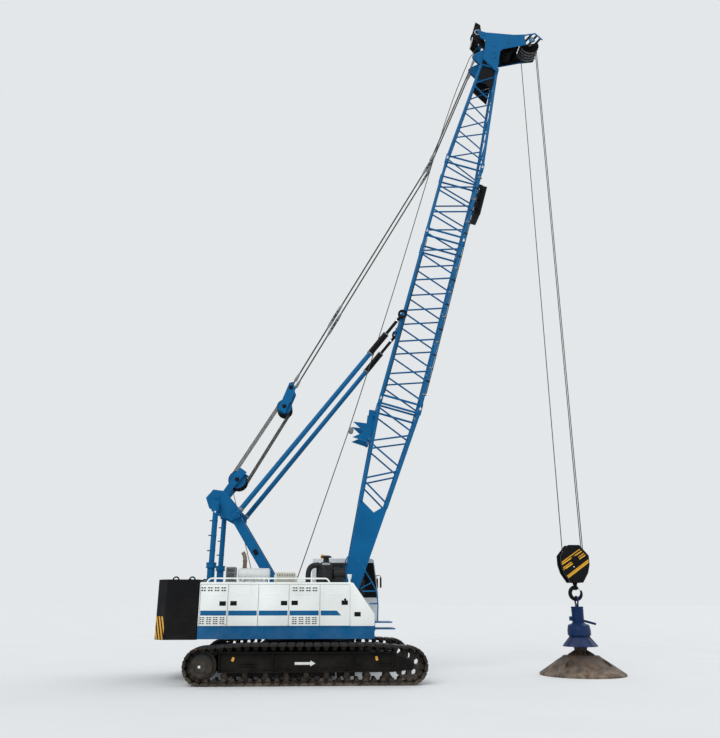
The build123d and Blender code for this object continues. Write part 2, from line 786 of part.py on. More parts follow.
def cab_mounts():
    """Rubber feet between the cab floor and the deck."""
    low = DECK_TOP_Z
    high = DECK_TOP_Z + 26
    shapes = []
    for x in (CAB_REAR_X + 150, CAB_FRONT_X - 350):
        for y in (CAB_INNER_Y + 150, CAB_OUTER_Y - 200):
            shapes.append(rod((x, y, low), (x, y, high), 60))
    return shapes


def hinge_knuckles(x, y, lengths):
    """Short hinge barrels on one upright axis."""
    return [rod((x, y, low), (x, y, high), CAB_HINGE_RADIUS) for low, high in lengths]


def cab_body():
    shapes = [cab_shell()] + cab_mounts()
    for z in CAB_HINGE_LEVELS:
        lengths = [(z - 80, z - 30 - RUNNING_GAP), (z + 30 + RUNNING_GAP, z + 80)]
        shapes += hinge_knuckles(CAB_HINGE_X, CAB_HINGE_Y, lengths)
        for low, high in lengths:
            shapes.append(block(CAB_HINGE_X - 60, CAB_HINGE_X - 4, CAB_OUTER_Y, CAB_OUTER_Y + 10, low, high))
    return joined(shapes)


write("cab_shell", cab_body())


def cab_glass():
    inner = CAB_INNER_Y
    outer = CAB_OUTER_Y
    edge = WINDOW_EDGE
    rear_x = CAB_REAR_X + 20
    side_y = inner + 20
    front_x = CAB_FRONT_X - 25
    return [
        block(rear_x, rear_x + GLASS, inner + edge, outer - edge, REAR_WINDOW_LOW_Z, WINDOW_HIGH_Z),
        block(CAB_REAR_X + edge, CAB_FRONT_X - 400, side_y, side_y + GLASS, WINDOW_LOW_Z, WINDOW_HIGH_Z),
        block(front_x, front_x + GLASS, inner + 80, outer - 80, WINDSCREEN_LOW_Z, CAB_BROW_Z),
    ]


def cab_door():
    half = DOOR_GAP / 2
    low = CAB_DOOR_LOW_Z + half
    high = CAB_DOOR_HIGH_Z - half
    outer = CAB_OUTER_Y
    panel = block(CAB_DOOR_REAR_X + half, CAB_DOOR_FRONT_X - half, outer - CAB_WALL, outer, low, high)
    x0 = CAB_DOOR_REAR_X + 90
    x1 = CAB_DOOR_FRONT_X - 90
    window = block(x0, x1, outer - 80, outer + 1, WINDOW_LOW_Z, high - 80)
    shapes = [panel - window]
    for z in CAB_HINGE_LEVELS:
        shapes += hinge_knuckles(CAB_HINGE_X, CAB_HINGE_Y, [(z - 30, z + 30)])
        shapes.append(block(CAB_HINGE_X + 4, CAB_HINGE_X + 60, outer, outer + 10, z - 30, z + 30))
    return joined(shapes)


def cab_door_glass():
    y = CAB_OUTER_Y - 30
    high = CAB_DOOR_HIGH_Z - DOOR_GAP / 2 - 80
    return block(CAB_DOOR_REAR_X + 90, CAB_DOOR_FRONT_X - 90, y, y + GLASS, WINDOW_LOW_Z, high)


def cab_seat():
    """The seat on its pedestal, and the console in front of it."""
    y = (CAB_INNER_Y + CAB_OUTER_Y) / 2
    floor = CAB_FLOOR_Z + CAB_WALL
    rear = CAB_REAR_X + 340
    seat = [
        block(rear + 70, rear + 570, y - 150, y + 150, floor, 1620),
        block(rear, rear + 600, y - 240, y + 240, 1620, 1760),
        block(rear, rear + 120, y - 230, y + 230, 1760, 2380),
    ]
    console = block(rear + 720, rear + 1070, y - 200, y + 200, floor, 1900)
    return [joined(seat), console]


write("cab_glass", cab_glass())
write("cab_door", cab_door())
write("cab_door_glass", cab_door_glass())
write("cab_seat", cab_seat())


# Gantry: telescopic rear legs, box front legs and the head with its guide sheaves
def gantry_rear_leg(side):
    y = side * GANTRY_LEG_Y
    x = GANTRY_REAR_X
    return joined([
        rod((x, y, DECK_TOP_Z), (x, y, 2700), 95),
        rod((x, y, 2640), (x, y, 2760), 125),
        rod((x, y, 2700), (x + 30, y, 4150), 70),
        block(x - 75, x + 105, y - 45, y + 45, 4050, 4330),
    ])


def gantry_front_leg(side):
    y = side * GANTRY_FRONT_LEG_Y
    x, z = GANTRY_FOOT
    half = GANTRY_LEG_DEPTH / 2
    leg = bar((x, y, z), (GANTRY_TOP[0], y, GANTRY_TOP[1]), 240, GANTRY_LEG_DEPTH)
    foot = block(x - 200, x + 160, y - half, y + half, DECK_TOP_Z, z + 40)
    return joined([leg, foot])


def gantry_head():
    x, z = GANTRY_HEAD_PIN
    plate = [
        (-1830, 3900),
        (-1780, 4060),
        (-2250, 4600),
        (-2560, 4640),
        (-2740, 4420),
        (-2640, 4150),
        (-2050, 3840),
    ]
    shapes = []
    plate_y = GANTRY_FRONT_LEG_Y + GANTRY_LEG_DEPTH / 2
    for y in (-plate_y - GANTRY_PLATE, plate_y):
        shapes.append(slab(plate, y, y + GANTRY_PLATE))
    shapes.append(rod((-2420, -985, 4250), (-2420, 985, 4250), 60))
    shapes.append(rod((x, -plate_y - 40, z), (x, plate_y + 40, z), HEAD_PIN_RADIUS))
    pivot_x, pivot_z = BACKSTOP_PIVOT
    shapes.append(rod((pivot_x, -plate_y, pivot_z), (pivot_x, plate_y, pivot_z), 60))
    reach = BACKSTOP_Y + 70
    shapes.append(rod((pivot_x, -reach, pivot_z), (pivot_x, reach, pivot_z), BACKSTOP_PIN_RADIUS))
    return joined(shapes)


gantry_top = gantry_head()
write("gantry_head", gantry_top)
write("gantry_rear_legs", [cut_for(leg, gantry_top) for leg in both_sides(gantry_rear_leg)])
write("gantry_front_legs", [cut_for(leg, gantry_top, deck) for leg in both_sides(gantry_front_leg)])


# Roof fittings
def cooler():
    x0, x1 = COOLER_X
    y0 = ROOF_Y - 160
    y1 = ROOF_Y + 210
    fins = [block(x0, x1, y0, y1, HOUSING_TOP_Z, HOUSING_TOP_Z + 60)]
    pitch = (x1 - x0 - 20) / (COOLER_FINS - 1)
    for index in range(COOLER_FINS):
        x = x0 + index * pitch
        fins.append(block(x, x + 20, y0 + 10, y1 - 10, HOUSING_TOP_Z + 55, HOUSING_TOP_Z + 375))
    return joined(fins)


def muffler():
    x0, x1 = MUFFLER_X
    shapes = [rod((x0, ROOF_Y, MUFFLER_Z), (x1, ROOF_Y, MUFFLER_Z), MUFFLER_RADIUS)]
    for x in (x0 + 100, x1 - 160):
        shapes.append(block(x, x + 60, ROOF_Y - 110, ROOF_Y + 110, HOUSING_TOP_Z, MUFFLER_Z - 65))
    return joined(shapes)


def exhaust_stack():
    y = ROOF_Y + 90
    bend_z = MUFFLER_Z + 435
    return joined([
        rod((STACK_X, y, MUFFLER_Z + 95), (STACK_X, y, bend_z), STACK_RADIUS),
        rod((STACK_X, y, bend_z - 40), (STACK_X - 70, y, bend_z + 130), STACK_RADIUS),
    ])


def air_cleaner():
    """Upright canister with its cap, a second can beside it, and the hose to the engine."""
    x = AIR_CLEANER_X
    y = ROOF_Y + 40
    roof = HOUSING_TOP_Z
    hose = [(x - 470, roof), (x - 470, roof + 295), (x - 310, roof + 425), (x - 130, roof + 425)]
    shapes = [
        rod((x, y, roof), (x, y, roof + 495), 190),
        rod((x, y, roof + 485), (x, y, roof + 615), 70),
        rod((x, y, roof + 595), (x, y, roof + 665), 135),
        rod((x + 170, y, roof + 355), (x + 530, y, roof + 355), 120),
        block(x + 290, x + 470, y - 90, y + 90, roof, roof + 295),
    ]
    for a, b in zip(hose, hose[1:]):
        shapes.append(rod((a[0], y, a[1]), (b[0], y, b[1]), 75))
    return joined(shapes)


def roof_rail(side, rear_x, front_x):
    y = side * (DECK_HALF_WIDTH - 60)
    z = HOUSING_TOP_Z + RAIL_HEIGHT
    shapes = [rod((rear_x, y, z), (front_x, y, z), RAIL_RADIUS)]
    for index in range(RAIL_POSTS):
        x = rear_x + 30 + index * (front_x - rear_x - 60) / (RAIL_POSTS - 1)
        shapes.append(rod((x, y, HOUSING_TOP_Z), (x, y, z), RAIL_RADIUS - 4))
    return joined(shapes)


def corner_lamp():
    y = ROOF_Y - 150
    stem = rod((LAMP_X, y, HOUSING_TOP_Z), (LAMP_X, y, HOUSING_TOP_Z + 65), 30)
    body = rod((LAMP_X, y, HOUSING_TOP_Z + 60), (LAMP_X, y, HOUSING_TOP_Z + 185), 60)
    return joined([stem, body])


write("roof_cooler", cooler())
muffler_body = muffler()
write("muffler", muffler_body)
write("exhaust_stack", cut_for(exhaust_stack(), muffler_body))
write("vent_box", block(*VENT_BOX_X, ROOF_Y - 150, ROOF_Y + 200, HOUSING_TOP_Z, HOUSING_TOP_Z + 255))
write("air_cleaner", air_cleaner())
write("roof_rails", [roof_rail(-1, -2450, 500), roof_rail(1, -2450, -100), corner_lamp()])


# Steps and catwalks at the front corners
def step_set(side):
    y0 = side * STEP_INNER_Y
    y1 = side * STEP_OUTER_Y
    front = DECK_FRONT_X
    shapes = [block(front, front + reach, y0, y1, z, z + 30) for reach, z in STEP_ROWS]
    shapes.append(block(front, front + 20, y0, y1, STEP_ROWS[0][1] - 30, STEP_ROWS[-1][1] + 30))
    return joined(shapes)


write("front_steps", step_set(-1))


# Boom sections
def chord_lines(s0, s1, back0, back1, front0, front1, y0, y1):
    """Four chords between two cross sections, as pairs of end points."""
    lines = []
    for side in (-1, 1):
        lines.append(((s0, side * y0, back0), (s1, side * y1, back1)))
        lines.append(((s0, side * y0, front0), (s1, side * y1, front1)))
    return lines


def between(line, share):
    a, b = line
    return tuple(p + (q - p) * share for p, q in zip(a, b))


def brace(a, b, radius):
    """A tube between two chords, its ends just inside them."""
    a = Vector(*a)
    b = Vector(*b)
    inset = (b - a).normalized() * (radius + BRACE_CLEAR)
    return rod(a + inset, b - inset, radius, BRACE_SEAM)


def corner_seam(point):
    """The outward direction at a corner of the boom's section."""
    return (0, math.copysign(1, point[1]), math.copysign(1, point[2]))


def zigzag(first, second, bays, start, bay, length, radius):
    """Lacing between two chords, its ends a little apart at each joint."""
    shapes = []
    for index in range(bays):
        low = (start + index * bay + LACING_GAP) / length
        high = (start + (index + 1) * bay - LACING_GAP) / length
        a, b = (first, second) if index % 2 else (second, first)
        shapes.append(brace(between(a, low), between(b, high), radius))
    return shapes


def lattice(lines, bays, lead_in, lead_out, radius):
    """Chords with lacing on all four faces. The front and back lacing is half a bay
    further on than the side lacing, so that no joint takes both."""
    shapes = [rod(a, b, CHORD_RADIUS, corner_seam(a)) for a, b in lines]
    length = lines[0][1][0] - lines[0][0][0]
    bay = (length - lead_in - lead_out) / bays
    right_back, right_front, left_back, left_front = lines
    for back, front in ((right_back, right_front), (left_back, left_front)):
        shapes += zigzag(back, front, bays, lead_in, bay, length, radius)
    for right, left in ((right_back, left_back), (left_front, right_front)):
        shapes += zigzag(right, left, bays - 1, lead_in + bay / 2, bay, length, radius)
    return shapes


def splice_lugs(s, toward, back, front, half_width):
    """Round lugs on the four chord ends at a splice, reaching back into the section."""
    shapes = []
    for y in (-half_width, half_width):
        for t in (back, front):
            lug = (s, y, t)
            shapes.append(rod(lug, (s + toward * SPLICE_LUG, y, t), CHORD_RADIUS + 14, corner_seam(lug)))
    return shapes


def splice_frame(s, back, front, half, radius):
    """A square of tubes across the boom at a splice."""
    corners = [(s, -half, back), (s, half, back), (s, half, front), (s, -half, front)]
    shapes = []
    for index in range(4):
        shapes.append(brace(corners[index], corners[(index + 1) % 4], radius))
    return shapes


def boom_straight(s0, s1, bays):
    depth = BOOM_HALF_DEPTH
    inset = SPLICE_LUG / 2
    half = BOOM_HALF_WIDTH
    lines = chord_lines(s0 + inset, s1 - inset, -depth, -depth, depth, depth, half, half)
    shapes = lattice(lines, bays, LACING_LEAD, LACING_LEAD, LACING_RADIUS)
    for s, toward in ((s0, 1), (s1, -1)):
        shapes += splice_lugs(s, toward, -depth, depth, BOOM_HALF_WIDTH)
        frame_s = s + toward * SPLICE_LUG * 0.75
        shapes += splice_frame(frame_s, -depth, depth, BOOM_HALF_WIDTH, LACING_RADIUS + 6)
    return on_boom(joined(shapes))


def boom_butt():
    depth = BOOM_HALF_DEPTH
    plate_end = BUTT_PLATE_END_S
    share = plate_end / BUTT_END_S
    back = FOOT_HALF_DEPTH + (depth - FOOT_HALF_DEPTH) * share
    y_mid = FOOT_Y + (BOOM_HALF_WIDTH - FOOT_Y) * share
    lug_s = BUTT_END_S - SPLICE_LUG / 2
    lines = chord_lines(plate_end, lug_s, -back, -depth, back, depth, y_mid, BOOM_HALF_WIDTH)
    shapes = lattice(lines, BUTT_BAYS, BUTT_LACING_LEAD, LACING_LEAD, LACING_RADIUS)
    shapes += splice_lugs(BUTT_END_S, -1, -depth, depth, BOOM_HALF_WIDTH)
    frame_s = BUTT_END_S - SPLICE_LUG * 0.75
    shapes += splice_frame(frame_s, -depth, depth, BOOM_HALF_WIDTH, LACING_RADIUS + 6)
    half = FOOT_PLATE / 2
    for side in (-1, 1):
        outline = [
            (-150, -FOOT_HALF_DEPTH + 40),
            (-150, FOOT_HALF_DEPTH - 40),
            (300, FOOT_HALF_DEPTH + 40),
            (plate_end + 150, back + CHORD_RADIUS),
            (plate_end - 200, 60),
            (plate_end + 60, -back - CHORD_RADIUS),
            (300, -FOOT_HALF_DEPTH - 40),
        ]
        face = make_face(Polyline(*[(s, side * FOOT_Y - half, t) for s, t in outline], close=True))
        shapes.append(extrude(face, amount=FOOT_PLATE, dir=(0, 1, 0)))
    for t in (-back + 20, back - 50):
        shapes.append(block(900, plate_end - 100, -FOOT_Y, FOOT_Y, t * 0.62, t * 0.62 + 30))
    shapes.append(rod((0, -FOOT_Y - 100, 0), (0, -FOOT_Y + 100, 0), FOOT_PIN_RADIUS))
    shapes.append(rod((0, FOOT_Y - 100, 0), (0, FOOT_Y + 100, 0), FOOT_PIN_RADIUS))
    shapes.append(rod((plate_end, -y_mid, -back), (plate_end, y_mid, -back), LACING_RADIUS + 6))
    shapes.append(rod((plate_end, -y_mid, back), (plate_end, y_mid, back), LACING_RADIUS + 6))
    return on_boom(joined(shapes))


def boom_tip():
    depth = BOOM_HALF_DEPTH
    lug_s = SHORT_INSERT_END_S + SPLICE_LUG / 2
    end_s = TIP_END_S - SPLICE_LUG / 2
    lines = chord_lines(lug_s, end_s, -depth, TIP_BACK_T, depth, TIP_FRONT_T, BOOM_HALF_WIDTH, TIP_CHORD_Y)
    shapes = lattice(lines, TIP_BAYS, TIP_LACING_LEAD, TIP_LACING_LEAD, TIP_LACING_RADIUS)
    shapes += splice_lugs(SHORT_INSERT_END_S, 1, -depth, depth, BOOM_HALF_WIDTH)
    shapes += splice_lugs(TIP_END_S, -1, TIP_BACK_T, TIP_FRONT_T, TIP_CHORD_Y)
    frame_s = SHORT_INSERT_END_S + SPLICE_LUG * 0.75
    shapes += splice_frame(frame_s, -depth, depth, BOOM_HALF_WIDTH, TIP_LACING_RADIUS + 6)
    return on_boom(joined(shapes))


insert_long = boom_straight(BUTT_END_S, LONG_INSERT_END_S, LONG_BAYS)
insert_short = boom_straight(LONG_INSERT_END_S, SHORT_INSERT_END_S, SHORT_BAYS)
butt = boom_butt()
write("boom_butt", butt)
write("boom_insert_long", insert_long)
write("boom_insert_short", insert_short)

# Boom head: two side plates tied together, with the goose neck forward
def boom_head():
    shapes = []
    for y in (-HEAD_INNER_Y - HEAD_PLATE, HEAD_INNER_Y):
        face = make_face(Polyline(*[(s, y, t) for s, t in HEAD_OUTLINE], close=True))
        shapes.append(extrude(face, amount=HEAD_PLATE, dir=(0, 1, 0)))
    reach = HEAD_INNER_Y
    shapes.append(block(TIP_END_S, TIP_END_S + 40, -reach, reach, TIP_BACK_T - 50, TIP_FRONT_T + 45))
    for s, t, radius in ((18960, -500, 60), (18350, 0, 60), (18900, 380, 60)):
        shapes.append(rod((s, -reach, t), (s, reach, t), radius))
    s, t = HEAD_SHEAVE_ST
    outer = reach + HEAD_PLATE + 1
    shaft_hole = rod((s, -outer, t), (s, outer, t), HEAD_SHAFT_RADIUS + RUNNING_GAP)
    return on_boom(joined(shapes) - shaft_hole)


def stay_lugs():
    s, t = STAY_LUG_ST
    shapes = []
    for side in (-1, 1):
        y = side * STAY_Y
        outline = [
            (s - 320, -280),
            (s - 90, t - 60),
            (s + 90, t - 60),
            (s + 420, -300),
            (s + 120, -120),
            (s - 250, -150),
        ]
        for a in (y - STAY_EYE_HALF - RUNNING_GAP - 24, y + STAY_EYE_HALF + RUNNING_GAP):
            face = make_face(Polyline(*[(p, a, q) for p, q in outline], close=True))
            shapes.append(extrude(face, amount=24, dir=(0, 1, 0)))
        shapes.append(rod((s, y - 60, t), (s, y + 60, t), STAY_PIN_RADIUS))
    reach = HEAD_INNER_Y
    shapes.append(rod((s + 20, -reach, -200), (s + 20, reach, -200), 70))
    return on_boom(joined(shapes))


boom_top = joined([boom_head(), stay_lugs()])
tip = boom_tip()
write("boom_head", boom_top)
write("boom_tip", tip)


# Head sheaves on their shaft
def sheave(centre, y, radius, width):
    x, z = centre
    groove = radius - ROPE_RADIUS - RUNNING_GAP
    half = ROPE_RADIUS + 4
    outer = width / 2
    shapes = [rod((x, y - outer, z), (x, y + outer, z), groove)]
    for a, b in ((y - outer, y - half), (y + half, y + outer)):
        shapes.append(rod((x, a, z), (x, b, z), radius + 35))
    return joined(shapes)


def head_sheaves():
    x, z = HEAD_SHEAVE_XZ
    reach = HEAD_INNER_Y + HEAD_PLATE + 20
    shaft = rod((x, -reach, z), (x, reach, z), HEAD_SHAFT_RADIUS)
    return joined([shaft] + [sheave((x, z), y, HEAD_SHEAVE_RADIUS, 80) for y in SHEAVE_ROWS_Y])


write("head_sheaves", head_sheaves())


# Rope guide frame behind the head, the fender box, and the backstop lugs
def guide_frame():
    shapes = []
    for y in (-260, 260):
        line = [(18500, -330), (18900, -840), (19560, -880), (19500, -700), (19100, -560), (18760, -330)]
        face = make_face(Polyline(*[(s, y - 12, t) for s, t in line], close=True))
        shapes.append(extrude(face, amount=24, dir=(0, 1, 0)))
    for s, t in ((19480, -850), (18930, -800), (18620, -350)):
        shapes.append(rod((s, -300, t), (s, 300, t), 35))
    shapes.append(rod((19150, -60, -760), (19150, 60, -760), 150))
    shapes.append(rod((19150, -272, -760), (19150, 272, -760), 30))
    return on_boom(joined(shapes))


def boom_fender():
    """A box on the boom's front face, on three brackets."""
    low, high = FENDER_S
    front = BOOM_HALF_DEPTH
    shapes = [block(low, high, -330, 330, front + 120, front + 310)]
    for s in (low + 200, (low + high) / 2, high - 200):
        for y in (-BOOM_HALF_WIDTH, BOOM_HALF_WIDTH - 40):
            shapes.append(block(s - 60, s + 60, y, y + 40, front + 20, front + 150))
        shapes.append(block(s - 60, s + 60, -BOOM_HALF_WIDTH, BOOM_HALF_WIDTH, front + 130, front + 160))
    return on_boom(joined(shapes))


def backstop_lugs():
    s, t = BACKSTOP_LUG_ST
    shapes = [rod((s, -BACKSTOP_Y - 70, t), (s, BACKSTOP_Y + 70, t), LUG_PIN_RADIUS)]
    for side in (-1, 1):
        y = side * BOOM_HALF_WIDTH
        inner_t = -BOOM_HALF_DEPTH - CHORD_RADIUS + 30
        shapes.append(block(s - 110, s + 110, y - 25, y + 25, t - 70, inner_t))
    return on_boom(joined(shapes))


def rear_brackets():
    """Forked plates behind the butt's upper end, on two cross tubes."""
    middle = REAR_BRACKET_S
    fork = [
        (middle - 350, -560),
        (middle - 330, -1040),
        (middle - 100, -760),
        (middle + 100, -1140),
        (middle + 160, -740),
        (middle + 560, -800),
        (middle + 580, -640),
        (middle + 300, -560),
    ]
    shapes = []
    for y in (-345, 315):
        face = make_face(Polyline(*[(s, y, t) for s, t in fork], close=True))
        shapes.append(extrude(face, amount=30, dir=(0, 1, 0)))
    shapes.append(rod((middle, -345, -690), (middle, 345, -690), 60))
    for s in (middle - 270, middle + 400):
        shapes.append(rod((s, -BOOM_HALF_WIDTH, -590), (s, BOOM_HALF_WIDTH, -590), 45))
    return on_boom(joined(shapes))


write("guide_frame", cut_for(guide_frame(), boom_top))
write("boom_fender", cut_for(boom_fender(), insert_short))
write("backstop_lugs", cut_for(backstop_lugs(), insert_long))
write("rear_brackets", cut_for(rear_brackets(), butt))

# Backstops: a tube on the gantry and a sliding rod that ends at the boom's lug
def along_backstop(distance, y):
    x, z = [start + step * distance for start, step in zip(BACKSTOP_PIVOT, BACKSTOP_DIR)]
    return (x, y, z)


def backstop_tube(side):
    y = side * BACKSTOP_Y
    end = BACKSTOP_TUBE_END
    tube = joined([
        rod(along_backstop(70, y), along_backstop(end, y), BACKSTOP_TUBE_RADIUS),
        rod(along_backstop(BACKSTOP_SLEEVE_START, y), along_backstop(end + 30, y), BACKSTOP_TUBE_RADIUS + 15),
    ])
    bore = rod(along_backstop(1200, y), along_backstop(end + 31, y), BACKSTOP_ROD_RADIUS + 1)
    x, z = BACKSTOP_PIVOT
    eye = rod((x, y - 45, z), (x, y + 45, z), 95)
    pin_hole = rod((x, y - 60, z), (x, y + 60, z), BACKSTOP_PIN_RADIUS + RUNNING_GAP)
    return joined([tube - bore, eye]) - pin_hole


def backstop_rod(side):
    y = side * BACKSTOP_Y
    shaft = rod(along_backstop(3900, y), along_backstop(BACKSTOP_LENGTH - 95, y), BACKSTOP_ROD_RADIUS)
    x, z = BACKSTOP_LUG_XZ
    eye = rod((x, y - 40, z), (x, y + 40, z), 130)
    return joined([shaft, eye]) - rod((x, y - 60, z), (x, y + 60, z), LUG_PIN_RADIUS + DRIFT_ROOM)


write("backstop_tubes", both_sides(backstop_tube))
write("backstop_rods", both_sides(backstop_rod))

# Luffing tackle: the lower block, the spreader and the pendants
def luffing_block():
    x, z = GANTRY_HEAD_PIN
    low_x, low_z = TACKLE_LOW
    arm = [(x - 80, z - 60), (x + 60, z - 80), (low_x + 250, low_z + 200), (low_x + 60, low_z + 330)]
    shapes = [slab(arm, y - 15, y + 15) for y in (-STAY_Y, STAY_Y)]
    shapes.append(rod((low_x, -STAY_Y - 15, low_z), (low_x, STAY_Y + 15, low_z), 50))
    for y in TACKLE_SHEAVES_Y:
        shapes.append(rod((low_x, y - 25, low_z), (low_x, y + 25, low_z), TACKLE_LOW_RADIUS))
    eye_hole = rod((x, -400, z), (x, 400, z), 55 + RUNNING_GAP)
    return joined(shapes) - eye_hole


def spreader():
    x, z = TACKLE_HIGH
    shapes = []
    outline = [
        (x - 230, z - 330),
        (x - 40, z - 460),
        (x + 240, z + 260),
        (x + 170, z + 470),
        (x + 60, z + 440),
    ]
    for y in (-STAY_Y, STAY_Y):
        shapes.append(slab(outline, y - 15, y + 15))
    half = STAY_Y + 15
    shapes.append(rod((x - 60, -half, z - 250), (x - 60, half, z - 250), 45))
    shapes.append(rod((x + 110, -half, z + 300), (x + 110, half, z + 300), 40))
    for y in TACKLE_SHEAVES_Y:
        shapes.append(rod((x - 60, y - 25, z - 250), (x - 60, y + 25, z - 250), TACKLE_HIGH_RADIUS))
    return joined(shapes)


write("luffing_block", luffing_block())
spreader_block = spreader()
write("spreader", spreader_block)


def pendant(side):
    y = side * STAY_Y
    shapes = []
    for a, b in zip(PENDANT_POINTS, PENDANT_POINTS[1:]):
        shapes.append(rod((a[0], y, a[1]), (b[0], y, b[1]), 22))
    for x, z in PENDANT_POINTS[1:3]:
        shapes.append(rod((x - 90, y, z - 160), (x + 90, y, z + 160), 42))
    x, z = STAY_LUG_XZ
    eye = rod((x, y - STAY_EYE_HALF, z), (x, y + STAY_EYE_HALF, z), STAY_PIN_RADIUS + DRIFT_ROOM + 45)
    hole = rod((x, y - 60, z), (x, y + 60, z), STAY_PIN_RADIUS + DRIFT_ROOM)
    return joined(shapes + [eye]) - hole


write("pendants", [cut_for(line, spreader_block) for line in both_sides(pendant)])

# Hoist falls, from the head sheaves to the hook block
falls = [rod((x, y, HOOK_SHEAVE_Z), (x, y, FALL_TOP_Z), ROPE_RADIUS) for x, y in FALL_ROWS]
write("hoist_falls", falls)


# Hook block, hook, release device and drop hammer
def hook_block():
    x = FALL_X
    cheek = [(x + across, z) for across, z in HOOK_BLOCK_CHEEK]
    low = HOOK_BLOCK_BOTTOM_Z
    shapes = [slab(cheek, y - 25, y + 25) for y in (-150, 150)]
    for y in (-60, 0, 60):
        shapes.append(sheave((x, HOOK_SHEAVE_Z), y, HEAD_SHEAVE_RADIUS, 60))
    shapes.append(rod((x, -200, HOOK_SHEAVE_Z), (x, 200, HOOK_SHEAVE_Z), 110))
    shapes.append(block(x - 150, x + 150, -175, 175, low, low + 110))
    return joined(shapes)


def hook():
    """A shank and a round hook, open at the upper front, its point drawn in."""
    x = FALL_X
    centre_z = HOOK_CENTRE_Z
    sweep = 360 - HOOK_OPENING
    bend = Rot(90, 0, 0) * Torus(HOOK_RING, HOOK_THICKNESS, major_angle=sweep)
    bend = Pos(x, 0, centre_z) * (Rot(0, -90, 0) * bend)
    angle = math.radians(90 + sweep)
    tip_x = x + HOOK_RING * math.cos(angle)
    tip_z = centre_z + HOOK_RING * math.sin(angle)
    shank = rod((x, 0, centre_z + HOOK_RING - 20), (x, 0, HOOK_BLOCK_BOTTOM_Z - RUNNING_GAP), 60)
    return joined([shank, bend, Pos(tip_x, 0, tip_z) * Sphere(HOOK_THICKNESS)])


def release_device():
    """Skirt, body and barrel in one turned form, with the shackle that the hook holds."""
    x = FALL_X
    top_z = DEVICE_PROFILE[-1][1]
    points = [(0, DEVICE_PROFILE[0][1])] + DEVICE_PROFILE + [(0, top_z)]
    body = revolve(Plane.XZ * make_face(Polyline(*points, close=True)), Axis.Z)
    saddle_z = HOOK_CENTRE_Z - HOOK_RING + HOOK_THICKNESS + RUNNING_GAP
    shackle_z = saddle_z - SHACKLE_RING + SHACKLE_RADIUS
    shackle = Pos(x, 0, shackle_z) * (Rot(0, 90, 0) * Torus(SHACKLE_RING, SHACKLE_RADIUS))
    eye_z = shackle_z - SHACKLE_RING
    return joined([
        Pos(x, 0, 0) * body,
        block(x - 30, x + 30, -60, 60, top_z - 20, eye_z + SHACKLE_RADIUS),
        shackle,
        bar((x + 100, 0, 1345), (x + 470, 0, 1250), 50, 50),
        block(x - 225, x - 100, -45, 45, 1340, 1450),
    ])


def hammer():
    profile = Polyline(
        (0, 0),
        (HAMMER_RADIUS, 0),
        (HAMMER_RADIUS, HAMMER_RIM_Z),
        (HAMMER_TOP_RADIUS, HAMMER_TOP_Z),
        (HAMMER_NECK_RADIUS, HAMMER_NECK_Z),
        (HAMMER_NECK_RADIUS, DEVICE_PROFILE[0][1] - RUNNING_GAP),
        (0, DEVICE_PROFILE[0][1] - RUNNING_GAP),
        close=True,
    )
    body = revolve(Plane.XZ * make_face(profile), Axis.Z)
    for index in range(HAMMER_VENTS):
        angle = math.radians(360 / HAMMER_VENTS * (index + 0.5))
        x = HAMMER_VENT_REACH * math.cos(angle)
        y = HAMMER_VENT_REACH * math.sin(angle)
        body = body - rod((x, y, -1), (x, y, HAMMER_TOP_Z), HAMMER_VENT_RADIUS)
    return Pos(FALL_X, 0, 0) * body


write("hook_block", hook_block())
write("hook", hook())
write("release_device", release_device())
write("hammer", hammer())
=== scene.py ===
import json
import math

import bmesh
import bpy
from mathutils import Matrix, Vector


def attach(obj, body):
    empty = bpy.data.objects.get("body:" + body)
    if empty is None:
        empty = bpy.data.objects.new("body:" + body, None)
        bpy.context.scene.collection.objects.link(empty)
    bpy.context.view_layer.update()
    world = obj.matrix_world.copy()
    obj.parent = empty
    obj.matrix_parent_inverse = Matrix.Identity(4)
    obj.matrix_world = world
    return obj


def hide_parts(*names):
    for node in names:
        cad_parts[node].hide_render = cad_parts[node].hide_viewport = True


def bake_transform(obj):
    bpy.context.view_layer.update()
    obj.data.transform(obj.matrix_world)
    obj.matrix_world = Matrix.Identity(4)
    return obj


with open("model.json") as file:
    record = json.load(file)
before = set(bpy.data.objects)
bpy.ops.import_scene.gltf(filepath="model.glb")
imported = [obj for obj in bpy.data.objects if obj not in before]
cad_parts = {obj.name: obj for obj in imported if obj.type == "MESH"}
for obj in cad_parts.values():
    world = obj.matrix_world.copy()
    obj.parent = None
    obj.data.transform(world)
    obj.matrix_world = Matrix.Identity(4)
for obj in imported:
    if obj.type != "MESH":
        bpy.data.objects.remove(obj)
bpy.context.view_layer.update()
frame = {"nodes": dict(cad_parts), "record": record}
NODES = frame["nodes"]

# The slew axis stands this far behind the frame's origin. Places below are given
# from the slew axis at ground level, in metres.
SLEW_X = -2.315
BOOM_FOOT = (1.0, 1.8)
BOOM_ANGLE = math.radians(74.6)
ALONG = Vector((math.cos(BOOM_ANGLE), 0, math.sin(BOOM_ANGLE)))
ACROSS = Vector((math.sin(BOOM_ANGLE), 0, -math.cos(BOOM_ANGLE)))
FORWARD, LEFTWARD, UP = Vector((1, 0, 0)), Vector((0, 1, 0)), Vector((0, 0, 1))
RIGHT, LEFT = -1, 1
SIDES = (RIGHT, LEFT)
SIDE_WORD = {RIGHT: "right", LEFT: "left"}


def at(x, y, z):
    """A point given from the slew axis, in the frame."""
    return Vector((x + SLEW_X, y, z))


def on_boom(s, y, t):
    """A point given along, beside and across the boom, in the frame."""
    return at(BOOM_FOOT[0], y, BOOM_FOOT[1]) + ALONG * s + ACROSS * t


def upright(rows, y):
    """Points given as (x, z) rows, at one Y."""
    return [at(x, y, z) for x, z in rows]


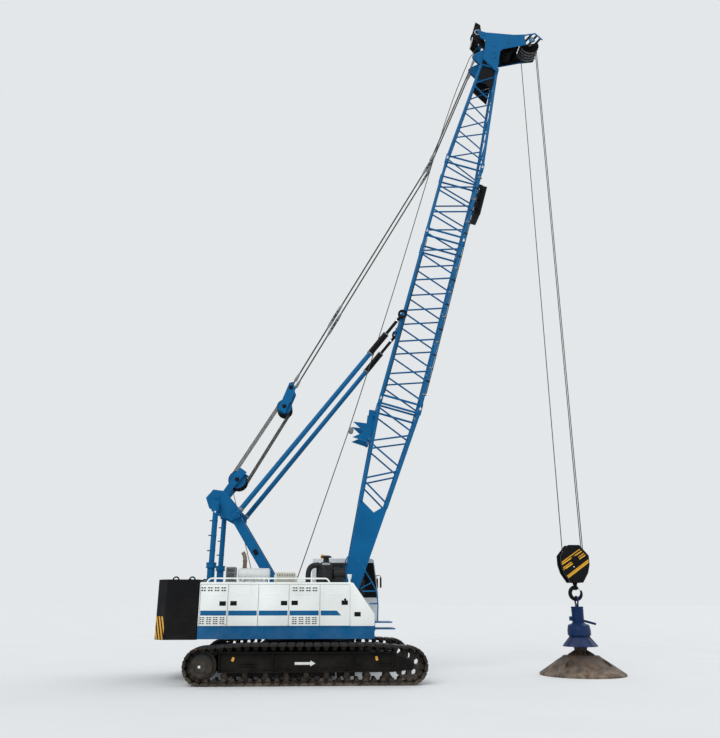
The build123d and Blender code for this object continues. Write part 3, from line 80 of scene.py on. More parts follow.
def boom_line(rows, y):
    """Points given as (s, t) rows, at one Y."""
    return [on_boom(s, y, t) for s, t in rows]


# Camera
FOCAL_PX = 720
FRAME_PX = (720, 738)
SENSOR_MM = 36
SIGHT = 500
CAMERA_AT = at(0.17, -20.0, 1.815)
CAMERA_PITCH = 17.932
CAMERA_YAW = 3.403
camera_data = bpy.data.cameras.new("camera")
camera_data.sensor_width = SENSOR_MM
camera_data.lens = FOCAL_PX * SENSOR_MM / max(FRAME_PX)
camera_data.clip_end = SIGHT
camera = bpy.data.objects.new("camera", camera_data)
camera.location = CAMERA_AT
camera.rotation_euler = (math.radians(90 + CAMERA_PITCH), 0, math.radians(-CAMERA_YAW))
bpy.context.collection.objects.link(camera)
bpy.context.scene.camera = camera
bpy.context.scene.view_settings.view_transform = "Standard"


# Outlines and lines
def circle(count, reach=1.0, first=0.0, last=None):
    """Flat points on a circle: count round a full turn, or count + 1 between two angles in degrees."""
    sweep = 360.0 if last is None else last - first
    steps = range(count if last is None else count + 1)
    angles = [math.radians(first + sweep * step / count) for step in steps]
    return [(reach * math.cos(angle), reach * math.sin(angle)) for angle in angles]


def arc(x, y, z, reach, first, last, steps=24):
    """Points on an upright circle about Y, its angles in degrees."""
    return [at(x + u, y, z + v) for u, v in circle(steps, reach, first, last)]


def spread(first, last, count):
    """Evenly spaced values from first to last."""
    return [first + (last - first) * index / (count - 1) for index in range(count)]


def mirrored(rows):
    """A symmetrical outline from its right half, given from the bottom up."""
    return rows + [(-u, v) for u, v in reversed(rows)]


def clip_convex(points, outline):
    """A convex polygon cut to the inside of a convex outline that turns to the left."""
    for a, b in zip(outline, outline[1:] + outline[:1]):
        out = []
        for index, point in enumerate(points):
            after = points[(index + 1) % len(points)]
            here = (b[0] - a[0]) * (point[1] - a[1]) - (b[1] - a[1]) * (point[0] - a[0])
            there = (b[0] - a[0]) * (after[1] - a[1]) - (b[1] - a[1]) * (after[0] - a[0])
            if here >= 0:
                out.append(point)
            if here * there < 0:
                share = here / (here - there)
                out.append(tuple(p + (q - p) * share for p, q in zip(point, after)))
        points = out
        if len(points) < 3:
            return []
    return points


def smooth_line(points, steps=8):
    """A smooth curve through points."""
    points = [Vector(p) for p in points]
    line = []
    for a, b, c, d in zip(points[:1] + points, points, points[1:], points[2:] + points[-1:]):
        for step in range(steps):
            t = step / steps
            square, cube = t * t, t * t * t
            bend = (2 * a - 5 * b + 4 * c - d) * square + (3 * b - a - 3 * c + d) * cube
            line.append(0.5 * (2 * b + (c - a) * t + bend))
    return line + [points[-1]]


# Mesh helpers
class Builder:
    """Collects simple solids into one mesh."""

    def __init__(self):
        self.bm = bmesh.new()

    def _ring(self, centre, first, second, radius, sides):
        turns = circle(sides)
        return [self.bm.verts.new(centre + (first * u + second * v) * radius) for u, v in turns]

    def _skin(self, pairs):
        """Smooth faces between pairs of rings. A ring may be a single point."""
        for a, b in pairs:
            sides = max(len(a), len(b))
            for step in range(sides if sides > 1 else 0):
                after = (step + 1) % sides
                if len(a) == 1:
                    corners = (a[0], b[after], b[step])
                elif len(b) == 1:
                    corners = (a[step], a[after], b[0])
                else:
                    corners = (a[step], a[after], b[after], b[step])
                self.bm.faces.new(corners).smooth = True

    def _cap(self, rings):
        for ring in (rings[0][::-1], rings[-1]):
            if len(ring) > 1:
                self.bm.faces.new(ring)

    def box(self, low, high, bevel=0.0, turn=None):
        """A box between two opposite corners, its edges eased, optionally turned by a matrix."""
        size = Vector([abs(b - a) for a, b in zip(low, high)])
        middle = (Vector(low) + Vector(high)) / 2
        verts = bmesh.ops.create_cube(self.bm, size=1.0)["verts"]
        for v in verts:
            v.co = v.co * size + middle
        if bevel:
            geom = list({e for v in verts for e in v.link_edges}) + verts
            eased = bmesh.ops.bevel(self.bm, geom=geom, offset=bevel, segments=2, affect="EDGES", profile=0.6)
            verts = {v for face in eased["faces"] for v in face.verts}
        if turn is not None:
            for v in verts:
                v.co = turn @ v.co

    def tube(self, points, radius, sides=12, ends=True):
        """A round tube through points. radius may be a list, one for each point."""
        points = [Vector(p) for p in points]
        last = len(points) - 1
        radii = radius if isinstance(radius, list) else [radius] * len(points)
        rings = []
        normal = None
        for index, point in enumerate(points):
            direction = (points[min(index + 1, last)] - points[max(index - 1, 0)]).normalized()
            if normal is None:
                normal = direction.orthogonal().normalized()
            else:
                normal = (normal - direction * normal.dot(direction)).normalized()
            rings.append(self._ring(point, normal, direction.cross(normal), radii[index], sides))
        self._skin(zip(rings, rings[1:]))
        if ends:
            self._cap(rings)

    def chain(self, points, radius, sides):
        """A straight tube between each two neighbouring points."""
        for a, b in zip(points, points[1:]):
            self.tube([a, b], radius, sides)

    def rail(self, points, radius, bend=0.10, sides=12):
        """A tube along straight runs with rounded corners."""
        line = [points[0]]
        for before, corner, after in zip(points, points[1:], points[2:]):
            back, ahead = before - corner, after - corner
            cut = min(bend, back.length * 0.45, ahead.length * 0.45)
            start, end = corner + back.normalized() * cut, corner + ahead.normalized() * cut
            for t in spread(0, 1, 7):
                line.append(start * (1 - t) ** 2 + corner * (2 * t * (1 - t)) + end * t * t)
        self.tube(line + [points[-1]], radius, sides)

    def lathe(self, centre, axis, profile, sides=32, closed=False):
        """A turned solid: profile holds (distance along axis, radius) pairs."""
        axis = Vector(axis).normalized()
        first = axis.orthogonal().normalized()
        second = axis.cross(first)
        rings = [
            self._ring(Vector(centre) + axis * along, first, second, radius, sides if radius else 1)
            for along, radius in profile
        ]
        pairs = list(zip(rings, rings[1:]))
        self._skin(pairs + [(rings[-1], rings[0])] if closed else pairs)
        if not closed:
            self._cap(rings)

    def bolt(self, spot, axis, radius, tall, top, tip, flat=False):
        """A six-sided bolt head with an eased top."""
        profile = [(0, radius), (tall, radius), (top, tip)]
        self.lathe(spot, axis, profile + [(top, 0)] if flat else profile, 6)

    def band(self, spot, axis, half, radius, rise, sides, ease=0.002):
        """A narrow band that stands proud of a round part, with eased edges."""
        high = radius + rise
        profile = [(-half, radius), (ease - half, high), (half - ease, high), (half, radius)]
        self.lathe(spot, axis, profile, sides)

    def cap(self, spot, axis, start, radius, tall, top, tip, sides):
        """A round cap with an eased edge."""
        self.lathe(spot, axis, [(start, radius), (tall, radius), (top, tip), (top, 0)], sides)

    def prism(self, outline, depth):
        """A plate: outline is a list of points in one plane, depth a vector through it."""
        depth = Vector(depth)
        low = [self.bm.verts.new(p) for p in outline]
        high = [self.bm.verts.new(Vector(p) + depth) for p in outline]
        self.bm.faces.new(low)
        self.bm.faces.new(high[::-1])
        for step in range(-1, len(low) - 1):
            self.bm.faces.new((low[step + 1], low[step], high[step], high[step + 1]))

    def border(self, outer, inner, depth):
        """A flat frame between two outlines with the same number of points."""
        for step in range(-1, len(outer) - 1):
            self.prism([outer[step], outer[step + 1], inner[step + 1], inner[step]], depth)

    def done(self, name, material, body, slot=None, sharp=35):
        """The finished piece, with its material and body; slot is not used."""
        bmesh.ops.recalc_face_normals(self.bm, faces=self.bm.faces)
        mesh = bpy.data.meshes.new(name)
        self.bm.to_mesh(mesh)
        self.bm.free()
        mesh.set_sharp_from_angle(angle=math.radians(sharp))
        mesh.materials.append(material)
        piece = bpy.data.objects.new(name, mesh)
        bpy.context.collection.objects.link(piece)
        if body:
            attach(piece, body)
        return piece


# Materials
class Nodes:
    """A small wrapper that builds a node material."""

    def __init__(self, name, roughness=0.5, metallic=0.0, specular=0.5):
        self.material = bpy.data.materials.new(name)
        self.material.use_nodes = True
        self.tree = self.material.node_tree
        self.shader = self.tree.nodes["Principled BSDF"]
        self.shader.inputs["Roughness"].default_value = roughness
        self.shader.inputs["Metallic"].default_value = metallic
        self.shader.inputs["Specular IOR Level"].default_value = specular
        self.place = self.tree.nodes.new("ShaderNodeTexCoord").outputs["Object"]

    def node(self, kind, **values):
        made = self.tree.nodes.new(kind)
        for key, value in values.items():
            setattr(made, key, value)
        return made

    def join(self, a, b):
        self.tree.links.new(a, b)

    def put(self, socket, value):
        """A number, a colour or another node's output on a socket."""
        if isinstance(value, (int, float)):
            socket.default_value = value if socket.type == "VALUE" else (value, value, value, 1)
        elif isinstance(value, tuple):
            socket.default_value = (*value, 1)
        else:
            self.join(value, socket)

    def scaled(self, scale):
        mapping = self.node("ShaderNodeMapping")
        mapping.inputs["Scale"].default_value = scale
        self.join(self.place, mapping.inputs["Vector"])
        return mapping.outputs["Vector"]

    def noise(self, scale, detail=4.0, rough=0.55, place=None):
        made = self.node("ShaderNodeTexNoise")
        made.inputs["Scale"].default_value = scale
        made.inputs["Detail"].default_value = detail
        made.inputs["Roughness"].default_value = rough
        self.join(place or self.place, made.inputs["Vector"])
        return made.outputs["Fac"]

    def ramp(self, source, *stops):
        made = self.node("ShaderNodeValToRGB")
        for element, (position, value) in zip(made.color_ramp.elements, stops):
            element.position = position
            element.color = (*value, 1) if isinstance(value, tuple) else (value, value, value, 1)
        self.join(source, made.inputs["Fac"])
        return made.outputs["Color"]

    def mix(self, factor, a, b):
        made = self.node("ShaderNodeMix", data_type="RGBA")
        for socket, value in ((made.inputs["Factor"], factor), (made.inputs[6], a), (made.inputs[7], b)):
            self.put(socket, value)
        return made.outputs[2]

    def times(self, a, b, clamp=False):
        made = self.node("ShaderNodeMath", operation="MULTIPLY", use_clamp=clamp)
        self.put(made.inputs[0], a)
        self.put(made.inputs[1], b)
        return made.outputs[0]

    def height(self, top):
        """0 above top and 1 at the ground, by height."""
        split = self.node("ShaderNodeSeparateXYZ")
        self.join(self.place, split.inputs[0])
        made = self.node("ShaderNodeMapRange")
        made.inputs["From Min"].default_value = top
        made.inputs["From Max"].default_value = 0.0
        self.join(split.outputs["Z"], made.inputs["Value"])
        return made.outputs["Result"]

    def dusted(self, base, top, film, amount):
        """The base colour under a broken film of dust that thickens towards the ground."""
        cover = self.times(self.times(self.height(top), film), amount, clamp=True)
        return self.mix(cover, base, DUST)

    def bump(self, source, distance, strength, under=None):
        made = self.node("ShaderNodeBump")
        made.inputs["Distance"].default_value = distance
        made.inputs["Strength"].default_value = strength
        self.join(source, made.inputs["Height"])
        if under is not None:
            self.join(under, made.inputs["Normal"])
        return made.outputs["Normal"]

    def finish(self, colour, roughness, normal):
        for key, value in (("Base Color", colour), ("Roughness", roughness), ("Normal", normal)):
            if value is not None:
                self.join(value, self.shader.inputs[key])
        return self.material


DUST = (0.42, 0.33, 0.24)
RUST = (0.15, 0.055, 0.022)
CHIP = (0.10, 0.07, 0.05)


def shade(colour, factor, lift=0.0):
    """A colour made paler or deeper."""
    return tuple(min(1.0, c * factor + lift) for c in colour)


def paint(name, colour, rough=(0.32, 0.5), dust=0.25, dust_top=2.4, chips=0.0, shine=0.3):
    """Sprayed paint: slight mottling, streaks, dust towards the ground, chips and orange peel."""
    nodes = Nodes(name, specular=shine)
    mottle = nodes.ramp(nodes.noise(1.3, 5), (0.3, 0.0), (0.7, 1.0))
    base = nodes.mix(mottle, shade(colour, 0.88), shade(colour, 1.09, 0.001))
    streaks = nodes.noise(9.0, 3, place=nodes.scaled((1.0, 1.0, 0.12)))
    base = nodes.mix(nodes.ramp(streaks, (0.58, 0.0), (0.78, 0.28)), base, shade(colour, 0.62))
    if chips:
        edge = 0.70 - chips * 0.1
        spots = nodes.ramp(nodes.noise(34.0, 6, 0.7), (edge, 0.0), (edge + 0.02, 1.0))
        base = nodes.mix(spots, base, CHIP)
    film = nodes.ramp(nodes.noise(2.6, 7, 0.62), (0.38, 0.0), (0.72, 1.0))
    base = nodes.dusted(base, dust_top, film, dust * 2.2)
    grain = nodes.bump(nodes.noise(55.0, 3), 0.0016, 0.5)
    normal = nodes.bump(nodes.noise(1.9, 2), 0.012, 0.35, grain)
    roughness = nodes.ramp(nodes.noise(3.1, 5), (0.3, rough[0]), (0.75, rough[1]))
    return nodes.finish(base, roughness, normal)


def steel(name, colour, rough=(0.3, 0.55), metallic=0.9, rust=0.0, dust=0.0, dust_top=1.0, grain=60.0):
    """Bare or worn metal with grain, rust bloom and dust."""
    nodes = Nodes(name, metallic=metallic, specular=0.3)
    mottle = nodes.ramp(nodes.noise(4.0, 6), (0.3, 0.0), (0.7, 1.0))
    base = nodes.mix(mottle, shade(colour, 0.7), shade(colour, 1.25))
    if rust:
        bloom = nodes.noise(7.0, 8, 0.68)
        base = nodes.mix(nodes.ramp(bloom, (0.60 - rust * 0.25, 0.0), (0.78 - rust * 0.2, 1.0)), base, RUST)
    if dust:
        film = nodes.ramp(nodes.noise(5.0, 7, 0.65), (0.35, 0.0), (0.68, 1.0))
        base = nodes.dusted(base, dust_top, film, dust * 2.0)
    normal = nodes.bump(nodes.noise(grain, 4, 0.6), 0.003, 0.5)
    roughness = nodes.ramp(nodes.noise(6.0, 5), (0.3, rough[0]), (0.75, rough[1]))
    return nodes.finish(base, roughness, normal)


def glazing(name):
    """Tinted glass with a thin film of dirt."""
    nodes = Nodes(name)
    nodes.shader.inputs["Transmission Weight"].default_value = 0.6
    nodes.shader.inputs["IOR"].default_value = 1.45
    nodes.shader.inputs["Alpha"].default_value = 0.78
    film = nodes.ramp(nodes.noise(1.7, 6), (0.35, (0.014, 0.022, 0.025)), (0.8, (0.030, 0.042, 0.046)))
    normal = nodes.bump(nodes.noise(0.9, 1), 0.004, 0.2)
    return nodes.finish(film, nodes.ramp(nodes.noise(2.2, 5), (0.3, 0.03), (0.8, 0.16)), normal)


def vinyl(name, colour):
    """Grained seat cover."""
    nodes = Nodes(name)
    cells = nodes.node("ShaderNodeTexVoronoi")
    cells.inputs["Scale"].default_value = 210
    nodes.join(nodes.place, cells.inputs["Vector"])
    base = nodes.mix(nodes.noise(6, 4), shade(colour, 0.7), shade(colour, 1.3))
    normal = nodes.bump(cells.outputs["Distance"], 0.002, 0.4)
    return nodes.finish(base, nodes.ramp(nodes.noise(8, 4), (0.3, 0.55), (0.8, 0.75)), normal)


def wire_rope(name, colour):
    """Greased wire rope: the lay shows as fine slanted wires."""
    nodes = Nodes(name, metallic=0.55)
    wires = nodes.node("ShaderNodeTexWave", wave_type="BANDS", bands_direction="DIAGONAL")
    wires.inputs["Scale"].default_value = 70
    wires.inputs["Distortion"].default_value = 1.2
    nodes.join(nodes.place, wires.inputs["Vector"])
    lay = wires.outputs["Fac"]
    mottle = nodes.ramp(nodes.noise(11, 5), (0.35, shade(colour, 0.6)), (0.75, shade(colour, 1.2)))
    base = nodes.mix(nodes.ramp(lay, (0.2, 0.0), (0.8, 1.0)), shade(colour, 0.72), mottle)
    normal = nodes.bump(lay, 0.002, 0.7)
    return nodes.finish(base, nodes.ramp(nodes.noise(14, 4), (0.3, 0.38), (0.8, 0.6)), normal)


BLUE = (0.0008, 0.108, 0.272)
WORN_BLUE = (0.003, 0.022, 0.085)
WHITE = (0.87, 0.895, 0.86)
FRAME_BLACK = (0.006, 0.0055, 0.005)
CAST_IRON = (0.062, 0.047, 0.038)
blue = paint("blue_coat", BLUE, (0.30, 0.46), dust=0.08, dust_top=2.0, chips=0.15, shine=0.12)
blue_dark = paint("blue_coat_worn", WORN_BLUE, (0.36, 0.6), dust=0.13, dust_top=1.3, chips=0.5, shine=0.15)
white = paint("white_coat", WHITE, (0.34, 0.5), dust=0.12, dust_top=2.6)
cab_white = paint("cab_enamel", (0.78, 0.80, 0.79), (0.22, 0.36), dust=0.08, dust_top=2.8)
cream = paint("cream_coat", (0.66, 0.64, 0.55), (0.4, 0.55), dust=0.05)
black = paint("black_coat", (0.006, 0.006, 0.007), (0.40, 0.60), 0.02, dust_top=2.2, chips=0.1, shine=0.08)
frame_black = paint("frame_coat", FRAME_BLACK, (0.45, 0.7), 0.025, dust_top=0.9, chips=0.2, shine=0.08)
shoe_steel = steel("shoe_steel", (0.020, 0.018, 0.016), (0.45, 0.75), 0.35, 0.10, dust=0.16, dust_top=0.5)
wheel_steel = steel("wheel_steel", (0.018, 0.017, 0.016), (0.4, 0.7), 0.4, 0.10, dust=0.14, dust_top=0.7)
grey_coat = paint("grey_coat", (0.20, 0.21, 0.215), (0.4, 0.6), dust=0.05, chips=0.1)
shade_grey = paint("shade_grey", (0.30, 0.31, 0.29), (0.5, 0.7), dust=0.1)
silver_coat = paint("heat_silver_coat", (0.62, 0.63, 0.62), (0.34, 0.52), dust=0.04)
# Near-black paint for the louvre and vent slots: painted shade inside the openings
slot_shade_paint = paint("slot_shade_paint", (0.030, 0.031, 0.030), (0.45, 0.7), dust=0.05)
rubber = paint("black_rubber", (0.011, 0.011, 0.012), (0.55, 0.8), dust=0.03)
yellow = paint("yellow_coat", (0.72, 0.36, 0.02), (0.35, 0.5), dust=0.12)
marking_white = paint("marking_white", (0.78, 0.78, 0.76), (0.4, 0.55), dust=0.05)
pipe_rust = steel("pipe_rust", (0.19, 0.155, 0.125), (0.5, 0.8), 0.4, rust=0.35)
# Dark rusty iron for the vent liners: rust, with painted shade inside the vents
vent_rust_and_shade = steel("vent_rust_and_shade", (0.030, 0.013, 0.008), (0.6, 0.9), 0.1, rust=0.5)
engine_iron = steel("engine_iron", (0.09, 0.09, 0.092), (0.5, 0.75), 0.5, rust=0.2)
hammer_cast = steel("hammer_cast", CAST_IRON, (0.55, 0.85), 0.3, 0.35, dust=0.30, dust_top=0.45, grain=24)
chrome = steel("rod_plating", (0.62, 0.62, 0.64), (0.08, 0.2), 1.0)
rope = wire_rope("rope_wire", (0.070, 0.068, 0.067))
seat_cover = vinyl("seat_cover", (0.03, 0.03, 0.033))
glass = glazing("window_glass")

SLOT_MATERIALS = {
    "blue_paint": blue,
    "white_paint": white,
    "white_enamel": cab_white,
    "black_paint": black,
    "track_steel": wheel_steel,
    "glass": glass,
    "seat_vinyl": seat_cover,
    "cast_block": engine_iron,
    "grey_paint": grey_coat,
    "heat_silver": silver_coat,
    "rusty_pipe": pipe_rust,
    "rope_steel": rope,
    "rod_chrome": chrome,
    "hammer_iron": hammer_cast,
}
NODE_MATERIALS = {
    "side_frames": frame_black,
    "carbody": frame_black,
    "track_left": shoe_steel,
    "track_right": shoe_steel,
    "release_device": blue_dark,
    "air_cleaner": rubber,
    "guide_frame": black,
    "backstop_rods": black,
}
for row in frame["record"]["subparts"]:
    node = NODES[row["node"]]
    node.data.materials.clear()
    node.data.materials.append(NODE_MATERIALS.get(row["node"], SLOT_MATERIALS[row["material_slot"]]))

# Tracks
TRACK_Y = 1.88
TRACK_REAR = -2.39
TRACK_FRONT = 2.38
TRACK_RADIUS = 0.42
TRACK_TOP = 2 * TRACK_RADIUS
HUMP = 0.062
HUMP_HALF = 1.45
SHOES = 60
SHOE_HALF_WIDTH = 0.38
PIN_DEPTH = 0.070
LOOP_LINES = (
    ((TRACK_REAR, 0), (TRACK_FRONT, 0)),
    ((TRACK_FRONT, TRACK_TOP), (HUMP_HALF, TRACK_TOP + HUMP)),
    ((HUMP_HALF, TRACK_TOP + HUMP), (-HUMP_HALF, TRACK_TOP + HUMP)),
    ((-HUMP_HALF, TRACK_TOP + HUMP), (TRACK_REAR, TRACK_TOP)),
)


def loop_stretches():
    """The track's outer loop as (length, start, along, out) lines and (length, centre, angle) arcs."""
    lines = []
    for first, last in LOOP_LINES:
        start, way = Vector(first), Vector(last) - Vector(first)
        along = way.normalized()
        lines.append((way.length, start, along, Vector((along.y, -along.x))))
    bend = math.pi * TRACK_RADIUS
    front = (bend, Vector((TRACK_FRONT, TRACK_RADIUS)), -math.pi / 2)
    rear = (bend, Vector((TRACK_REAR, TRACK_RADIUS)), math.pi / 2)
    return [lines[0], front, *lines[1:], rear]


STRETCHES = loop_stretches()
LOOP_LENGTH = sum(row[0] for row in STRETCHES)


def on_loop(distance):
    """The place, the direction along and the direction outward at a distance round the loop."""
    for length, *stretch in STRETCHES:
        if distance <= length:
            break
        distance -= length
    if len(stretch) == 3:
        start, along, out = stretch
        return start + along * distance, along, out
    centre, first = stretch
    angle = first + distance / TRACK_RADIUS
    out = Vector((math.cos(angle), math.sin(angle)))
    return centre + out * TRACK_RADIUS, Vector((-out.y, out.x)), out


def track_shoes(side):
    """The shoes of one track with their webs, link plates, guide lugs and pins."""
    pitch = LOOP_LENGTH / SHOES
    half = pitch / 2
    pad = ((-0.006, -0.052), (-0.006, -0.030), (-0.016, -0.010), (-0.030, -0.0005))
    web = ((-0.045, -0.070), (-0.03, -0.050))
    plate = ((-0.006, -0.087), (0.012, -0.078), (0.012, -0.060), (-0.01, -0.051))
    lug = ((0.036 - half, -0.158), (0.058 - half, -0.086))
    sections = [
        (mirrored([(half + u, v) for u, v in rows]), lows, wide)
        for rows, lows, wide in (
            (pad, (-SHOE_HALF_WIDTH,), 2 * SHOE_HALF_WIDTH),
            (web, (-0.372, 0.20), 0.172),
            (plate, (-0.118, 0.080), 0.038),
            (lug, (-0.215, 0.185), 0.030),
        )
    ]
    y = side * TRACK_Y
    shoes = Builder()
    for index in range(SHOES):
        place, along, out = on_loop((index + 0.5) * pitch)
        for rows, lows, wide in sections:
            spots = [place + along * u + out * v for u, v in rows]
            for low in lows:
                shoes.prism([at(spot.x, y + low, spot.y) for spot in spots], (0, wide, 0))
        place, along, out = on_loop(index * pitch)
        pin = place - out * PIN_DEPTH
        shoes.tube([at(pin.x, y - 0.14, pin.y), at(pin.x, y + 0.14, pin.y)], 0.013, sides=8)
    word = SIDE_WORD[side]
    piece = shoes.done("track_shoes_" + word, shoe_steel, "undercarriage", "track_steel", sharp=25)
    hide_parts("track_" + word)


track_shoes(RIGHT)
track_shoes(LEFT)


def roller_guards():
    """Plates under the side frames, on both sides of the lower rollers."""
    parts = Builder()
    for middle in (-TRACK_Y, TRACK_Y):
        for low in (middle - 0.174, middle + 0.162):
            for x0, x1 in ((-1.93, -0.70), (-0.66, 0.66), (0.70, 1.12)):
                parts.box(at(x0, low, 0.185), at(x1, low + 0.012, 0.285), 0.002)
    parts.done("roller_guards", frame_black, "undercarriage")


roller_guards()

# Side frames
FRAME_FACE_Y = 2.13
FRAME_PLATES = (
    (-2.005, 2.0, 0.695, 0.719, 0.075, 0.004),
    (-2.005, 2.0, 0.284, 0.306, 0.085, 0.004),
    (-0.62, 0.98, 0.38, 0.40, 0.012, 0.003),
    (1.16, 1.50, 0.43, 0.55, 0.010, 0.004),
    *((x - 0.011, x + 0.011, 0.306, 0.695, 0.05, 0.004) for x in (-1.99, -0.77, 1.09, 1.98)),
    *((x - 0.20, x + 0.20, z, z + 0.022, 0.03, 0.006) for x in (-1.34, 1.87) for z in (0.470, 0.418)),
)
ARROW_Z = 0.471
ARROW = ((-0.27, -0.028), (0.09, -0.028), (0.09, -0.062), (0.205, 0), (0.09, 0.062), (0.09, 0.028))
ARROW += ((-0.27, 0.028),)


def side_frame_details(side):
    """Flanges, ribs, access plates, bolts, slots, an arrow and tags on the outer face of one side frame."""
    face = side * FRAME_FACE_Y
    outward = LEFTWARD * side
    word = SIDE_WORD[side]
    parts = Builder()
    for x0, x1, z0, z1, proud, bevel in FRAME_PLATES:
        parts.box(at(x0, face - side * 0.004, z0), at(x1, face + side * proud, z1), bevel)
    for x in (-0.946, -0.41, 0.383, 0.913):
        y = face + side * 0.012
        parts.tube([at(x - 0.05, y, 0.352), at(x + 0.05, y, 0.352)], 0.012, 8)
    for x in (-0.988, -0.927, 0.864, 0.925):
        eye = [(0, 0.024), (0.012, 0.024), (0.014, 0.016), (0.004, 0.014)]
        parts.lathe(at(x, face, 0.606), outward, eye, 16)
    for x in (-1.93, -0.85, -0.69, 1.01, 1.17):
        for z in (0.34, 0.66):
            parts.bolt(at(x, face, z), outward, 0.017, 0.012, 0.016, 0.011)
    parts.done("side_frame_details_" + word, frame_black, "undercarriage", "black_paint")
    arrow = Builder()
    arrow.prism([at(x, face, ARROW_Z + z) for x, z in ARROW], outward * 0.0012)
    arrow.done("arrow_" + word, marking_white, "undercarriage")
    tags = Builder()
    for x, z, lean in ((-1.683, 0.565, 0.35), (1.621, 0.573, -0.25)):
        turn = Matrix.Translation(at(x, face, z)) @ Matrix.Rotation(lean, 4, "Y")
        tags.box((-0.028, 0, -0.045), (0.028, side * 0.0015, 0.045), 0, turn)
    tags.done("frame_tags_" + word, yellow, "undercarriage")


side_frame_details(RIGHT)
side_frame_details(LEFT)

TEETH = 13
COVER_BOLTS = 14
COVER = [(-0.03, 0.245), (0.004, 0.245), (0.016, 0.235), (0.020, 0.15), (0.030, 0.14), (0.034, 0.05)]
COVER += [(0.034, 0)]
WHEEL_RIM = [(0.0, 0.325), (0.012, 0.322), (0.016, 0.285), (0.004, 0.27), (-0.004, 0.27), (-0.004, 0.32)]
TOOTH = ((0.300, -0.05), (0.318, -0.022), (0.318, 0.022), (0.300, 0.05))
HUB_CAP = [(-0.05, 0.10), (0.01, 0.10), (0.022, 0.085), (0.026, 0.04), (0.026, 0)]


def wheel_details(side):
    """Sprocket teeth and cover bolts at the rear, a rim and a hub cap at the front, and blank tags."""
    parts = Builder()
    outward = LEFTWARD * side
    y = side * TRACK_Y
    axle = TRACK_RADIUS
    for row in (-0.062, 0.034):
        base = at(TRACK_REAR, y + row, axle)
        for u, v in circle(TEETH):
            radial, across = Vector((u, 0, v)), Vector((-v, 0, u))
            parts.prism([base + radial * reach + across * wide for reach, wide in TOOTH], (0, 0.028, 0))
    face = y + side * 0.28
    parts.lathe(at(TRACK_REAR, face, axle), outward, COVER, 48)
    for u, v in circle(COVER_BOLTS, 0.205):
        spot = at(TRACK_REAR + u, face + side * 0.012, axle + v)
        parts.bolt(spot, outward, 0.014, 0.012, 0.015, 0.009)
    parts.lathe(at(TRACK_FRONT, y + side * 0.16, axle), outward, WHEEL_RIM, 48, closed=True)
    parts.lathe(at(TRACK_FRONT, y + side * 0.205, axle), outward, HUB_CAP)
    parts.done("wheel_details_" + SIDE_WORD[side], wheel_steel, "undercarriage", "track_steel")
    if side == RIGHT:
        tag = Builder()
        for x, z, reach in ((TRACK_REAR - 0.04, 0.41, 0.315), (2.36, 0.55, 0.012)):
            tag.box(at(x - 0.026, y - reach - 0.0015, z - 0.026), at(x + 0.026, y - reach, z + 0.026))
        tag.done("wheel_tags", marking_white, "undercarriage")


wheel_details(RIGHT)
wheel_details(LEFT)

ROLLERS = 9
ROLLER_FLANGE = [(0, 0.092), (0, 0.094), (0.02, 0.094), (0.02, 0.092)]
ROLLER_CAP = [(-0.01, 0.075), (0.02, 0.07), (0.035, 0.045), (0.038, 0)]
ROLLER_REACH_X = 1.86
ROLLER_Z = 0.1854


def roller_details():
    """Flanges, end caps and axle blocks on the lower rollers of both tracks."""
    parts = Builder()
    for y in (-TRACK_Y, TRACK_Y):
        for x in spread(-ROLLER_REACH_X, ROLLER_REACH_X, ROLLERS):
            for row in (-0.13, 0.11):
                parts.lathe(at(x, y + row, ROLLER_Z), LEFTWARD, ROLLER_FLANGE, 24)
            for end in SIDES:
                parts.lathe(at(x, y + end * 0.15, ROLLER_Z), LEFTWARD * end, ROLLER_CAP, 20)
                parts.box(at(x - 0.055, y + end * 0.165, 0.20), at(x + 0.055, y + end * 0.235, 0.285), 0.006)
    parts.done("roller_details", wheel_steel, "undercarriage", "track_steel")


roller_details()

# Housings and doors
RIGHT_SEAMS = [-2.600, -1.935, -1.203, -0.464, 0.289, 1.026]
LEFT_SEAMS = RIGHT_SEAMS[:4]
HOUSE_Y = 1.56
DOOR_LOW, DOOR_HIGH = 1.272, 2.219
STRIPE_LOW, STRIPE_HIGH = 1.505, 1.618
STRIPE_END_HIGH, STRIPE_END_LOW = 0.70, 0.81
GRILLE_XS = {1: (-2.531, -2.369, -2.209, -2.050), 4: (-0.321, -0.160, 0.001, 0.162)}
GRILLE_ROWS = ((2.070, 2.190, 2), (1.315, 1.495, 4))
LOUVRE_WIDE = 0.062
LATCHES = {1: -2.054, 2: -1.795, 3: -0.578, 4: -0.322, 5: 0.893}
LOCKED_DOOR = 5
DOOR_GAP_HALF = 0.006
RIB_STEPS = 12
# The thickness of a painted or stuck mark
FILM = 0.0015


def wall_plate(parts, side, x0, x1, z0, z1, proud, bevel=0.003):
    """A plate on one side wall, its outer face proud of the wall."""
    parts.box(at(x0, side * (HOUSE_Y - 0.002), z0), at(x1, side * (HOUSE_Y + proud), z1), bevel)


def louvre_cells(number):
    """The left edge, low edge and height of each louvre on a door."""
    for x in GRILLE_XS.get(number, ()):
        for z0, z1, rows in GRILLE_ROWS:
            tall = (z1 - z0) / rows
            for left in (x - LOUVRE_WIDE, x):
                for row in range(rows):
                    yield left, z0 + row * tall, tall


def latch(parts, side, x, z):
    """A recessed paddle latch: black frame, sunk pan and paddle."""
    wall_plate(parts, side, x - 0.078, x + 0.078, z - 0.052, z + 0.052, 0.0035, 0.002)
    wall_plate(parts, side, x - 0.060, x + 0.012, z - 0.034, z + 0.034, 0.0052, 0.002)
    paddle = [(0, 0.015), (0.0052, 0.013), (0.0052, 0)]
    parts.lathe(at(x + 0.045, side * HOUSE_Y, z), LEFTWARD * side, paddle, 16)


